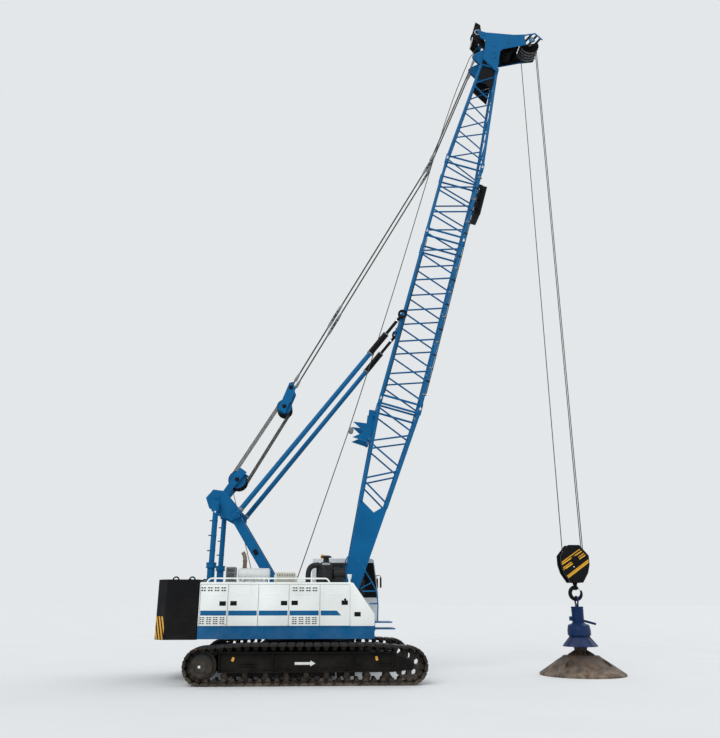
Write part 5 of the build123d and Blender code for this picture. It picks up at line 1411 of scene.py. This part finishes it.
def device_details():
    """Bands, fins, bolts, blocks and the lever of the release device."""
    parts = Builder()
    for z, reach in DEVICE_BANDS:
        parts.band(at(FALL_X, 0, z), UP, 0.012, reach - 0.012, 0.012, 48)
    radial_fins(parts, circle(8, 1, 22.5), DEVICE_FIN, 0.010)
    for u, v in circle(12, 0.245, 7):
        parts.bolt(at(FALL_X + u, v, 1.222), UP, 0.016, 0.022, 0.026, 0.010, flat=True)
    for z in (1.31, 1.52):
        for y in (-0.150, 0.150):
            parts.box(at(FALL_X - 0.05, y - 0.010, z), at(FALL_X + 0.05, y + 0.010, z + 0.10), 0.004)
    parts.tube([at(FALL_X + 0.11, -0.031, 1.37), at(FALL_X + 0.46, -0.031, 1.277)], 0.008, 8)
    for x, y, z, radius, wide in ((0.44, -0.034, 1.258, 0.022, 0.068), (-0.165, -0.056, 1.395, 0.024, 0.112)):
        parts.lathe(at(FALL_X + x, y, z), LEFTWARD, [(0, radius), (wide, radius)], 20)
    parts.done("device_details", blue_dark, "hook_load", "blue_paint")


device_details()

HAMMER_FIN = ((0.16, 0.505), (0.16, 0.60), (0.19, 0.60), (0.36, 0.50), (0.36, 0.475))
HAMMER_BEADS = ((0.462, 0.470, 0.009), (0.517, 0.170, 0.011), (0.672, 0.168, 0.013))
VENT_RING = 0.112
VENT_REACH = 0.70
CONE_RIM = 1.1
CONE_RIM_Z = 0.047
CONE_SLOPE = 0.415 / 0.625


def hammer_details():
    """Rings round the vents, dark vent liners that give rust and painted shade inside the vents, fins and
    weld beads on the cast drop weight.
    """
    parts, liners = Builder(), Builder()
    for vent_x, vent_y in circle(4, VENT_REACH, 45):
        # A dark tube inside each vent: rust with painted shade
        liner = [(0, 0.1105), (0, 0.106), (0.222, 0.106), (0.222, 0.1105)]
        liners.lathe(at(FALL_X + vent_x, vent_y, 0.012), UP, liner)
        line = []
        for u, v in circle(32, VENT_RING, 0, 360):
            x, y = vent_x + u, vent_y + v
            line.append(at(FALL_X + x, y, CONE_RIM_Z + (CONE_RIM - math.hypot(x, y)) * CONE_SLOPE))
        parts.tube(line, 0.011, 8, ends=False)
    for z, reach, thick in HAMMER_BEADS:
        parts.tube([at(FALL_X + u, v, z) for u, v in circle(64, reach, 0, 360)], thick, 8, ends=False)
    radial_fins(parts, circle(8), HAMMER_FIN, 0.011)
    parts.done("hammer_details", hammer_cast, "hook_load", "hammer_iron")
    liners.done("vent_shade_liners", vent_rust_and_shade, "hook_load")


hammer_details()


# Boom head
def plate_on_boom(parts, outline, y, thick):
    """A plate given by (s, t) points, at one Y."""
    parts.prism(boom_line(outline, y), LEFTWARD * thick)


HEAD_PLATE_Y = 0.467
HEAD_RIM_Y = 0.452
HEAD_INNER_Y = 0.4365
HEAD_COVER_HALF = 0.434
TIP_WEB_Y = 0.384
HEAD_END = [(19.22, 1.44), (19.01, 0.99), (19.33, 0.85), (19.51, 1.19), (19.34, 1.47)]
# The black on the inner faces of the head plates is painted shade inside the head
HEAD_INNER = ((19.23, 0.42), (19.38, 0.87), (19.55, 1.18), (19.38, 1.46), (19.05, 1.0), (18.62, 0.30))
HEAD_INNER += ((18.90, 0.34),)
HEAD_RIM = ((19.06, -0.41), (19.26, 0.49), (19.40, 0.87), (19.57, 1.19))
HEAD_COVER = ((19.18, 0.38), (19.322, 0.80), (19.312, 0.803), (19.17, 0.383))
HEAD_PINS = ((18.96, -0.50), (18.35, 0.0), (18.90, 0.38), (18.62, -0.05), (18.15, 0.05))
TIP_WEBS = (
    ((17.96, -0.29), (17.61, 0.23), (17.235, -0.325)),
    ((17.235, -0.325), (17.585, 0.215), (16.88, 0.24)),
)
STRIPE_STARTS = spread(0.62, 1.32, 5)
HEAD_STRIPE = ((18.7, 0), (19.9, 0.51), (19.9, 0.60), (18.7, 0.09))
SHEAVE_YS = (-0.18, -0.06, 0.06, 0.18)
IDLER_AT = (18.90, 0.38)
IDLER = [(0, 0.062), (0, 0.235), (0.012, 0.235), (0.030, 0.205), (0.040, 0.205), (0.058, 0.235)]
IDLER += [(0.070, 0.235), (0.070, 0.062)]
IDLER_AXLE = [(0.0, 0.09), (0.012, 0.09), (0.016, 0.064), (0.856, 0.064), (0.86, 0.09), (0.872, 0.09)]
SHEAVE_FACE = [(0, 0.10), (-0.002, 0.30), (0.002, 0.313), (0.014, 0.313), (0.016, 0.29)]


def head_details():
    """Webs, striped plate ends, painted shade on the plates' inner faces, rims and pins of the boom's head.
    """
    webs, stripes, base, parts = Builder(), Builder(), Builder(), Builder()
    for side in SIDES:
        outward = LEFTWARD * side
        face = side * HEAD_PLATE_Y
        for outline in TIP_WEBS:
            plate_on_boom(webs, outline, side * TIP_WEB_Y, side * 0.008)
        plate_on_boom(base, HEAD_END, face, side * 0.0012)
        for start in STRIPE_STARTS:
            cut = clip_convex([(s, start + t) for s, t in HEAD_STRIPE], HEAD_END)
            if cut:
                plate_on_boom(stripes, cut, face + side * 0.0006, side * 0.0012)
        # Black sheets on the inner faces: painted shade between the head plates
        plate_on_boom(base, HEAD_INNER, side * HEAD_INNER_Y, -side * 0.0025)
        parts.chain(boom_line(HEAD_RIM, side * HEAD_RIM_Y), 0.017, 8)
        parts.cap(on_boom(19.25, face, 1.13), outward, -0.01, 0.105, 0.014, 0.018, 0.07, 32)
        for s, t in HEAD_PINS:
            parts.cap(on_boom(s, face, t), outward, -0.01, 0.055, 0.010, 0.014, 0.035, 24)
    plate_on_boom(webs, HEAD_COVER, -HEAD_COVER_HALF, 2 * HEAD_COVER_HALF)
    webs.done("tip_webs", black, "boom")
    base.done("head_stripe_ground_and_painted_shade", black, "boom")
    stripes.done("head_stripes", marking_white, "boom")
    parts.done("head_details", blue, "boom", "blue_paint")


head_details()


def sheave_details():
    """Idler sheaves on their axle, and the rims of the head sheaves."""
    idlers, rims = Builder(), Builder()
    for y in SHEAVE_YS:
        idlers.lathe(on_boom(IDLER_AT[0], y - 0.035, IDLER_AT[1]), LEFTWARD, IDLER, 40)
        for end in SIDES:
            rims.lathe(at(FALL_X, y + end * 0.041, HEAD_Z), LEFTWARD * -end, SHEAVE_FACE, 48)
    idlers.lathe(on_boom(IDLER_AT[0], -0.436, IDLER_AT[1]), LEFTWARD, IDLER_AXLE)
    idlers.done("head_idlers", black, "boom", "black_paint")
    rims.done("sheave_rims", frame_black, "head_sheaves", "black_paint")


sheave_details()


def guide_rollers():
    """Rollers and rings of the rope guide."""
    guard = Builder()
    for s, t in ((18.90, -0.83), (19.55, -0.87), (19.48, -0.70), (18.60, -0.36)):
        guard.tube([on_boom(s, -0.27, t), on_boom(s, 0.27, t)], 0.022)
    for y in (-0.272, 0.272):
        ring = [on_boom(19.16 + u, y, -0.72 + v) for u, v in circle(24, 0.10, 0, 360)]
        guard.tube(ring, 0.012, 8, ends=False)
    guard.done("guide_rollers", marking_white, "boom")


guide_rollers()

# Boom
CHORD = 0.57
SPLICES = (5.5, 11.0, 13.7)
CLIPS = 19
CLIP_START = 5.95
CLIP_PITCH = 0.41
HOSE_T = 0.634
CLIP_HALF = Vector((0.02, 0.02, 0.012))
FENDER_LOW, FENDER_HIGH = 12.20, 13.25
FENDER_RIGHT, FENDER_LEFT = -0.331, 0.329


def splice_pins():
    """Pins and their clips where the sections of the boom meet."""
    pins = Builder()
    for s in SPLICES:
        for side in SIDES:
            for t in (-CHORD, CHORD):
                start = 0.475 if side == LEFT else -0.66
                pin = [(0, 0.030), (0.012, 0.036), (0.173, 0.036), (0.185, 0.030)]
                pins.lathe(on_boom(s, start, t), LEFTWARD, pin, 20)
                pins.tube([on_boom(s - 0.05, side * 0.652, t), on_boom(s + 0.05, side * 0.652, t)], 0.006, 6)
    pins.done("splice_pins", chrome, "boom", "rod_chrome")


splice_pins()


def chord_lines():
    """Clips and bands along one chord, and the hoses along the boom."""
    clips, hoses, bands = Builder(), Builder(), Builder()
    for index in range(CLIPS):
        s = CLIP_START + index * CLIP_PITCH
        parts = clips if index % 2 else bands
        parts.band(on_boom(s, -CHORD, CHORD), ALONG, 0.018, 0.045, 0.008, 20, ease=0)
        middle = on_boom(s, -CHORD, 0.628)
        clips.box(middle - CLIP_HALF, middle + CLIP_HALF, 0.003)
    for shift, radius in ((0.0, 0.013), (0.034, 0.009)):
        line = [on_boom(s / 2, shift - CHORD, HOSE_T + 0.003 * math.sin(s * 1.9)) for s in range(12, 27)]
        hoses.tube(smooth_line(line, 3), radius, 8)
    for y in (-0.545, 0.545):
        hoses.tube([on_boom(s, y, -0.505) for s in (5.7, 7.0, 9.0, 10.8)], 0.010, 8)
    clips.done("rung_clips", black, "boom", "black_paint")
    bands.done("clip_bands", grey_coat, "boom", "grey_paint")
    hoses.done("boom_hoses", rubber, "boom")


chord_lines()


def fender_ribs():
    """Ribs and edges of the boom's fender."""
    fender = Builder()
    for y in (FENDER_RIGHT, FENDER_LEFT):
        for s in spread(FENDER_LOW + 0.06, FENDER_HIGH - 0.06, 9):
            fender.tube([on_boom(s, y, 0.70), on_boom(s, y, 0.87)], 0.010, 6)
    for t in (0.69, 0.88):
        edge = ((FENDER_LOW + 0.01, t), (FENDER_HIGH - 0.01, t))
        fender.tube(boom_line(edge, FENDER_RIGHT), 0.014, 8)
    for s in spread(FENDER_LOW + 0.05, FENDER_HIGH - 0.05, 11):
        fender.tube([on_boom(s, -0.32, 0.880), on_boom(s, 0.32, 0.880)], 0.010, 6)
    fender.done("fender_ribs", rubber, "boom", "black_paint")


fender_ribs()


def foot_pins():
    """Caps and weld marks at the boom's foot."""
    foot = Builder()
    for side in SIDES:
        spot = at(BOOM_FOOT[0], side * 0.60, BOOM_FOOT[1])
        foot.cap(spot, LEFTWARD * side, -0.02, 0.075, 0.012, 0.018, 0.05, 32)
        for s, t in ((0.9, -0.024), (0.9, 0.024), (1.7, -0.044), (1.7, 0.044)):
            foot.lathe(on_boom(s, side * 0.5, t), LEFTWARD * side, [(0, 0.02), (0.004, 0.0)], 8)
    foot.done("foot_pins", grey_coat, "upperworks", "grey_paint")


foot_pins()

# Gantry, backstops and luffing block
LEG_X = -2.47
LEG_Y = 0.93
LEG_SLOPE = 0.03 / 1.45
GANTRY_PINS = ((-2.45, 4.45, 0.085), (-2.42, 4.25, 0.09), (-1.92, 3.97, 0.085))
GANTRY_EDGE = ((-1.80, 3.92), (-1.80, 4.06), (-2.25, 4.58), (-2.55, 4.62), (-2.72, 4.42))
FRONT_LEG = (Vector((-0.3, 1.345)), Vector((-2.05, 4.08)))


def gantry_details():
    """Pegs, collars, bolts, pin caps and edges of the gantry's legs and head."""
    pegs, parts, marks = Builder(), Builder(), Builder()
    foot, top = FRONT_LEG
    way = (top - foot).normalized()
    tilt = Matrix.Rotation(-math.atan2(way.y, way.x), 4, "Y")
    for side in SIDES:
        y = side * LEG_Y
        outward = LEFTWARD * side
        for z in (3.81, 3.44, 3.06):
            x = LEG_X + LEG_SLOPE * (z - 2.7)
            pegs.tube([at(x - 0.055, y, z), at(x - 0.135, y, z)], 0.014, 8)
            parts.band(at(x, y, z), UP, 0.02, 0.069, 0.006, 24)
        for z in (2.645, 2.755):
            parts.band(at(LEG_X, y, z), UP, 0.012, 0.125, 0.006, 32, ease=0.004)
        for u, v in circle(8, 0.108):
            parts.bolt(at(LEG_X + u, y + v, 2.76), UP, 0.010, 0.010, 0.012, 0.006)
        marks.lathe(at(-2.445, y + side * 0.064, 4.03), outward, [(0, 0.024), (0.016, 0.022), (0.016, 0)], 16)
        for x, z, r in GANTRY_PINS:
            parts.lathe(at(x, side * 0.76, z), outward, [(-0.004, r), (0.010, r), (0.014, r * 0.6)], 28)
        parts.chain(upright(GANTRY_EDGE, side * 0.74), 0.012, 8)
        for share in (0.30, 0.62):
            spot = foot.lerp(top, share)
            turn = Matrix.Translation(at(spot.x, side * 0.732, spot.y)) @ tilt
            pegs.box((-0.07, -0.012, -0.05), (0.07, 0.012, 0.05), 0.004, turn)
        for reach in (-0.104, 0.104):
            off = Vector((-way.y, way.x)) * reach
            seam = [foot.lerp(top, share) + off for share in (0.12, 0.93)]
            parts.tube([at(spot.x, side * 0.7205, spot.y) for spot in seam], 0.006, 6)
    pegs.done("gantry_pegs", black, "upperworks", "black_paint")
    parts.done("gantry_details", blue, "upperworks", "blue_paint")
    marks.done("gantry_bolts", marking_white, "upperworks")


gantry_details()

BACKSTOP_WAY = Vector((0.613347, 0, 0.789813))
BACKSTOP_START = (-1.92, 3.97)


def backstop_details():
    """Sleeves, rings and collars of both backstops."""
    sleeve = [(0, 0.083), (0.004, 0.0855), (0.72, 0.0855), (0.74, 0.083)]
    ring = [(0, 0.083), (0.004, 0.092), (0.028, 0.092), (0.032, 0.083)]
    end_ring = [(0, 0.068), (0.006, 0.078), (0.06, 0.078), (0.066, 0.068)]
    collar = [(0, 0.045), (0.006, 0.056), (0.04, 0.056), (0.046, 0.045)]
    rings = ((5.70, ring), (6.44, ring), (0.16, end_ring))
    for name, material, body, slot, rows, sides in (
        ("backstop_sleeves", black, "backstop_tubes", "black_paint", ((5.72, sleeve),), 28),
        ("backstop_rings", grey_coat, "backstop_tubes", "grey_paint", rings, 28),
        ("backstop_collars", chrome, "backstop_rods", "rod_chrome", ((6.96, collar),), 24),
    ):
        parts = Builder()
        for y in (-0.85, 0.85):
            for along, profile in rows:
                spot = at(BACKSTOP_START[0], y, BACKSTOP_START[1]) + BACKSTOP_WAY * along
                parts.lathe(spot, BACKSTOP_WAY, profile, sides)
        parts.done(name, material, body, slot)


backstop_details()


def tackle_blocks():
    """Sheave rims and pins of the luffing block and the spreader."""
    for name, body, middle, reach, far_pin in (
        ("luffing_block_rims", "stay_swing", TACKLE_LOW, 0.23, (-2.45, 4.45)),
        ("spreader_rims", "stay_reach", TACKLE_HIGH, 0.20, (-0.62, 7.60)),
    ):
        parts = Builder()
        low, high = reach - 0.03, reach + 0.016
        for y in TACKLE_YS:
            for shift in (-0.024, 0.018):
                rim = [(0, low), (0, high), (0.006, high), (0.006, low)]
                parts.lathe(at(middle[0], y + shift, middle[1]), LEFTWARD, rim, 40)
        for x, z in (middle, far_pin):
            for side in SIDES:
                parts.cap(at(x, side * 0.345, z), LEFTWARD * side, 0, 0.06, 0.010, 0.014, 0.04, 24)
        parts.done(name, black, body, "black_paint")


tackle_blocks()

# Cab
CAB_FLOOR = 1.347
PANE_LINE = ((1.868, 2.05), (1.770, 2.80), (1.764, 2.80), (1.862, 2.05))
# The black panel on the right front post is painted shade for the dark window there
POST_LINE = ((1.515, 1.93), (1.875, 1.93), (1.875, 2.05), (1.775, 2.85), (1.515, 2.85))
LAMP_BODY = [(-0.05, 0.03), (-0.03, 0.05), (0.03, 0.06), (0.045, 0.06), (0.045, 0.052), (0.035, 0.0)]
BEACON = [(0, 0.06), (0.02, 0.06), (0.025, 0.045), (0.12, 0.045), (0.145, 0.02), (0.15, 0)]


def seal(parts, low, high, normal, wide=0.035, thick=0.008):
    """A flat rubber frame round an upright window, given by two opposite corners."""
    outer = [Vector((a, b, z)) for a, b, z in (low, (*high[:2], low[2]), high, (*low[:2], high[2]))]
    middle = sum(outer, Vector()) / len(outer)
    inner = [corner + (middle - corner).normalized() * wide for corner in outer]
    parts.border(outer, inner, normal * thick)


def cab_seals():
    """Window seals and the wiper."""
    door_seal, seals = Builder(), Builder()
    seal(door_seal, at(0.50, 1.598, 1.94), at(1.30, 1.598, 2.775), LEFTWARD)
    door_seal.done("door_seal", rubber, "cab_door")
    seal(seals, at(0.19, 0.692, 1.94), at(1.51, 0.692, 2.84), -LEFTWARD)
    seal(seals, at(0.092, 0.79, 2.01), at(0.092, 1.50, 2.84), -FORWARD)
    seal(seals, at(1.898, 0.76, 1.49), at(1.898, 1.53, 2.045), FORWARD, 0.03, 0.006)
    for y in (0.765, 1.515):
        seals.tube([at(1.895, y, 2.05), at(1.797, y, 2.80)], 0.012, 8)
    seals.tube([at(1.795, 0.765, 2.805), at(1.795, 1.515, 2.805)], 0.012, 8)
    seals.tube([at(1.90, 1.10, 1.60), at(1.912, 1.16, 1.80), at(1.905, 1.24, 2.0)], 0.007, 8)
    seals.tube([at(1.912, 1.19, 1.70), at(1.908, 1.25, 2.03)], 0.010, 8)
    seals.done("cab_seals", rubber, "upperworks")


cab_seals()


def cab_front():
    """The upper windscreen, and a black panel on the right front post: painted shade where the window shows
    the dark cab inside.
    """
    pane, post = Builder(), Builder()
    pane.prism(upright(PANE_LINE, 0.77), (0, 0.745, 0))
    pane.done("windscreen_upper", glass, "upperworks", "glass")
    post.prism(upright(POST_LINE, 0.691), (0, -0.006, 0))
    post.done("cab_front_post_shade", black, "upperworks", "black_paint")


cab_front()


def cab_lamps():
    """Two front lamps and the beacon on the roof."""
    lamps = Builder()
    for y in (0.80, 1.49):
        lamps.lathe(at(1.60, y, 3.02), FORWARD, LAMP_BODY, 24)
        lamps.box(at(1.57, y - 0.012, 2.955), at(1.60, y + 0.012, 2.99), 0.003)
    lamps.lathe(at(0.35, 1.15, 2.958), UP, BEACON, 24)
    lamps.done("cab_lamps", yellow, "upperworks")


cab_lamps()


def cab_trim():
    """The roof hatch, the edges of the roof and a strip along the cab's right side."""
    trim = Builder()
    trim.box(at(0.62, 0.86, 2.956), at(1.22, 1.42, 2.985), 0.012)
    trim.box(at(0.67, 0.91, 2.98), at(1.17, 1.37, 2.998), 0.008)
    for y in (0.70, 1.59):
        trim.tube([at(0.12, y, 2.952), at(1.72, y, 2.952)], 0.012, 8)
    trim.box(at(0.12, 0.688, 1.42), at(1.70, 0.692, 1.46), 0.001)
    trim.done("cab_trim", cab_white, "upperworks", "white_enamel")


cab_trim()


def door_handle():
    """The grip and the lock plate on the cab door."""
    handle = Builder()
    grip = ((1.60, 1.62), (1.64, 1.64), (1.64, 1.84), (1.60, 1.86))
    handle.tube([at(1.30, y, z) for y, z in grip], 0.011, 10)
    handle.box(at(1.20, 1.598, 1.68), at(1.36, 1.612, 1.76), 0.004)
    handle.done("cab_door_handle", black, "cab_door", "black_paint")


door_handle()


def cab_mirrors():
    """Mirrors on their arms, and the grab rail beside the door."""
    mirrors = Builder()
    for y, out in ((1.60, 1.76), (0.69, 0.60)):
        arm = [at(1.80, y, 2.50), at(1.92, (y + out) / 2, 2.52), at(1.96, out, 2.50), at(1.96, out, 2.18)]
        mirrors.tube(arm, 0.009, 8)
        mirrors.box(at(1.945, out - 0.075, 2.19), at(1.985, out + 0.075, 2.46), 0.015)
    rail = ((1.60, 1.45), (1.66, 1.47), (1.66, 2.30), (1.60, 2.32))
    mirrors.rail([at(1.50, y, z) for y, z in rail], 0.012, 0.03, 8)
    mirrors.done("cab_mirrors", black, "upperworks", "black_paint")


cab_mirrors()

# Seat
PAD_CUTS = 23
PAD_CROWN = 0.20
PAD_PULL = 0.035
CHANNEL_DEPTH = 0.16
CHANNEL_WIDE = 0.045


def cushion(parts, low, high, channels):
    """A crowned pad: rounded box, sides pulled in between the corners, sewn channels on its wide face."""
    bm = bmesh.new()
    bmesh.ops.create_cube(bm, size=2)
    bmesh.ops.subdivide_edges(bm, edges=bm.edges[:], cuts=PAD_CUTS, use_grid_fill=True)
    low, high = at(*low), at(*high)
    middle, half = (low + high) / 2, (high - low) / 2
    flat = min(range(3), key=lambda axis: half[axis])
    across = 2 if flat == 0 else 0
    for vertex in bm.verts:
        spot = vertex.co.copy()
        reach = sum(abs(c) ** 5 for c in spot) ** 0.2
        u, v = spot[across], spot[1]
        bow_u, bow_v = 1 - u * u, 1 - v * v
        crown = 1 - PAD_CROWN + PAD_CROWN * bow_u * bow_v
        for channel in channels:
            crown -= CHANNEL_DEPTH * math.exp(-(((u - channel) / CHANNEL_WIDE) ** 2))
        scale = [1 - PAD_PULL * bow_v, 1 - PAD_PULL * bow_u, 1 - PAD_PULL * bow_u]
        scale[flat] = crown
        vertex.co = middle + Vector([c / reach * h * s for c, h, s in zip(spot, half, scale)])
    mesh = bpy.data.meshes.new("pad_form")
    bm.to_mesh(mesh)
    bm.free()
    parts.bm.from_mesh(mesh)
    bpy.data.meshes.remove(mesh)


SEAT_Y = 1.145
LEVER_KNOB = [(0, 0.008), (0.006, 0.014), (0.018, 0.014), (0.024, 0.006), (0.024, 0)]


def seat_cushions():
    """Crowned cushions with rolled edges in place of the plain seat, and its console with levers."""
    base, y = Builder(), SEAT_Y
    base.box(at(0.51, y - 0.14, CAB_FLOOR), at(0.98, y + 0.14, 1.61), 0.02)
    for side in SIDES:
        base.box(at(0.50, y + side * 0.205, 1.84), at(0.90, y + side * 0.239, 1.885), 0.014)
        base.tube([at(0.53, y + side * 0.222, 1.70), at(0.53, y + side * 0.222, 1.86)], 0.014, 8)
    base.box(at(1.155, y - 0.195, CAB_FLOOR), at(1.495, y + 0.195, 1.80), 0.03)
    panel = ((1.155, 1.80), (1.495, 1.895), (1.495, 1.79), (1.155, 1.78))
    base.prism(upright(panel, y - 0.19), (0, 0.38, 0))
    for step in range(4):
        lever = y - 0.13 + step * 0.087
        base.tube([at(1.25, lever, 1.80), at(1.22, lever, 1.885)], 0.007, 8)
        base.lathe(at(1.22, lever, 1.872), (-0.3, 0, 1), LEVER_KNOB, 12)
    piece = base.done("seat_base", rubber, "upperworks", "seat_vinyl")
    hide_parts("cab_seat")
    soft = Builder()
    for low, high, channels in (
        ((0.435, y - 0.235, 1.600), (1.025, y + 0.235, 1.765), (-0.5, 0.0, 0.5)),
        ((0.425, y - 0.225, 1.745), (0.555, y + 0.225, 2.165), (-0.45, 0.0, 0.45)),
        ((0.430, y - 0.14, 2.150), (0.540, y + 0.14, 2.380), ()),
    ):
        cushion(soft, low, high, channels)
    mesh_piece = soft.done("seat_cushions", seat_cover, "upperworks", "seat_vinyl", sharp=60)
    mesh_piece.data.polygons.foreach_set("use_smooth", [True] * len(mesh_piece.data.polygons))


seat_cushions()

# Front steps and small deck fittings
DECK_HOSE = ((0, 1.27), (0, 1.33), (0.05, 1.36), (0.22, 1.36), (0.25, 1.27))


def step_grip():
    """Grip strips on the steps."""
    grip = Builder()
    for x0, x1, z in ((1.62, 2.13, 1.18), (1.62, 2.06, 1.33)):
        for index in range(9):
            y = -1.49 + index * 0.095
            grip.box(at(x0 + 0.02, y, z), at(x1 - 0.02, y + 0.012, z + 0.006), 0.001)
    grip.done("step_grip", black, "upperworks", "black_paint")


step_grip()


def deck_hoses():
    """Hoses that rise from the deck and go back into it."""
    hoses = Builder()
    for y in (-0.55, 0.25):
        for x in (0.35, 0.62, 0.9):
            hoses.tube([at(x + shift, y, z) for shift, z in DECK_HOSE], 0.016, 8)
    hoses.done("deck_hoses", rubber, "upperworks")


deck_hoses()


def winch_flanges():
    """Stepped flanges with bolts on both ends of each winch drum."""
    flanges = Builder()
    for x, z, rope_reach in (drum[:3] for drum in DRUMS):
        reach = rope_reach - 0.002
        profile = [(-0.016, reach + 0.055), (0.0, reach + 0.06), (0.004, reach + 0.03), (0.010, 0.10)]
        profile += [(0.04, 0.09), (0.045, 0.05), (0.045, 0)]
        for side in SIDES:
            flanges.lathe(at(x, side * 0.331, z), LEFTWARD * side, profile, 40)
            for u, v in circle(8, 0.075):
                spot = at(x + u, side * 0.37, z + v)
                flanges.bolt(spot, LEFTWARD * side, 0.008, 0.008, 0.010, 0.004)
    flanges.done("winch_flanges", grey_coat, "upperworks", "grey_paint")


winch_flanges()


# Undercarriage between the tracks
def carbody_details():
    """Bolts on the carbody's sides and round the slew ring."""
    parts = Builder()
    for side in SIDES:
        for x in (-0.91, 0.91):
            for z in (0.48, 0.62, 0.76):
                parts.bolt(at(x, side * 1.1, z), LEFTWARD * side, 0.02, 0.02, 0.024, 0.012)
    for u, v in circle(36, 0.745):
        parts.bolt(at(u, v, 0.93), UP, 0.012, 0.016, 0.018, 0.007)
    parts.done("ring_bolts", frame_black, "undercarriage", "black_paint")


carbody_details()

# Floor, world and lamps
FLOOR_REACH = 400
SKY = (0.775, 0.80, 0.815)
SKY_LIGHT = (0.80, 0.86, 0.92)
floor_nodes = Nodes("floor_pale", roughness=0.9)
floor_base = floor_nodes.mix(floor_nodes.noise(0.4, 4), (0.72, 0.72, 0.71), (0.78, 0.78, 0.77))
floor_nodes.finish(floor_base, None, floor_nodes.bump(floor_nodes.noise(18, 3), 0.002, 0.2))
floor_mesh = bpy.data.meshes.new("floor")
corners = [(-1, -1), (1, -1), (1, 1), (-1, 1)]
floor_mesh.from_pydata([(x * FLOOR_REACH, y * FLOOR_REACH, 0) for x, y in corners], [], [(0, 1, 2, 3)])
floor = bpy.data.objects.new("floor", floor_mesh)
floor_mesh.materials.append(floor_nodes.material)
bpy.context.collection.objects.link(floor)

world = bpy.data.worlds.new("world")
bpy.context.scene.world = world
world.use_nodes = True
tree = world.node_tree
tree.nodes.clear()


def background(colour, strength):
    """An even light from all round."""
    made = tree.nodes.new("ShaderNodeBackground")
    made.inputs["Color"].default_value = (*colour, 1)
    made.inputs["Strength"].default_value = strength
    return made.outputs[0]


def larger(a, b):
    """The larger of two outputs."""
    made = tree.nodes.new("ShaderNodeMath")
    made.operation = "MAXIMUM"
    tree.links.new(a, made.inputs[0])
    tree.links.new(b, made.inputs[1])
    return made.outputs[0]


# The sky looks pale from the camera, in reflections and through glass, and lights with a dimmer blue
rays = tree.nodes.new("ShaderNodeLightPath").outputs
sight = larger(larger(rays["Is Camera Ray"], rays["Is Glossy Ray"]), rays["Is Transmission Ray"])
sky = tree.nodes.new("ShaderNodeMixShader")
output = tree.nodes.new("ShaderNodeOutputWorld")
tree.links.new(sight, sky.inputs[0])
tree.links.new(background(SKY_LIGHT, 0.68), sky.inputs[1])
tree.links.new(background(SKY, 1.0), sky.inputs[2])
tree.links.new(sky.outputs[0], output.inputs[0])


def sun(name, direction, strength, angle):
    """A wide sun that shines along a direction."""
    lamp = bpy.data.lights.new(name, "SUN")
    lamp.energy = strength
    lamp.angle = math.radians(angle)
    made = bpy.data.objects.new(name, lamp)
    made.rotation_euler = Vector(direction).to_track_quat("-Z", "Y").to_euler()
    bpy.context.collection.objects.link(made)


sun("key", (0.35, 0.75, -0.75), 1.5, 40)
sun("fill", (-0.6, -0.4, -0.6), 0.7, 60)
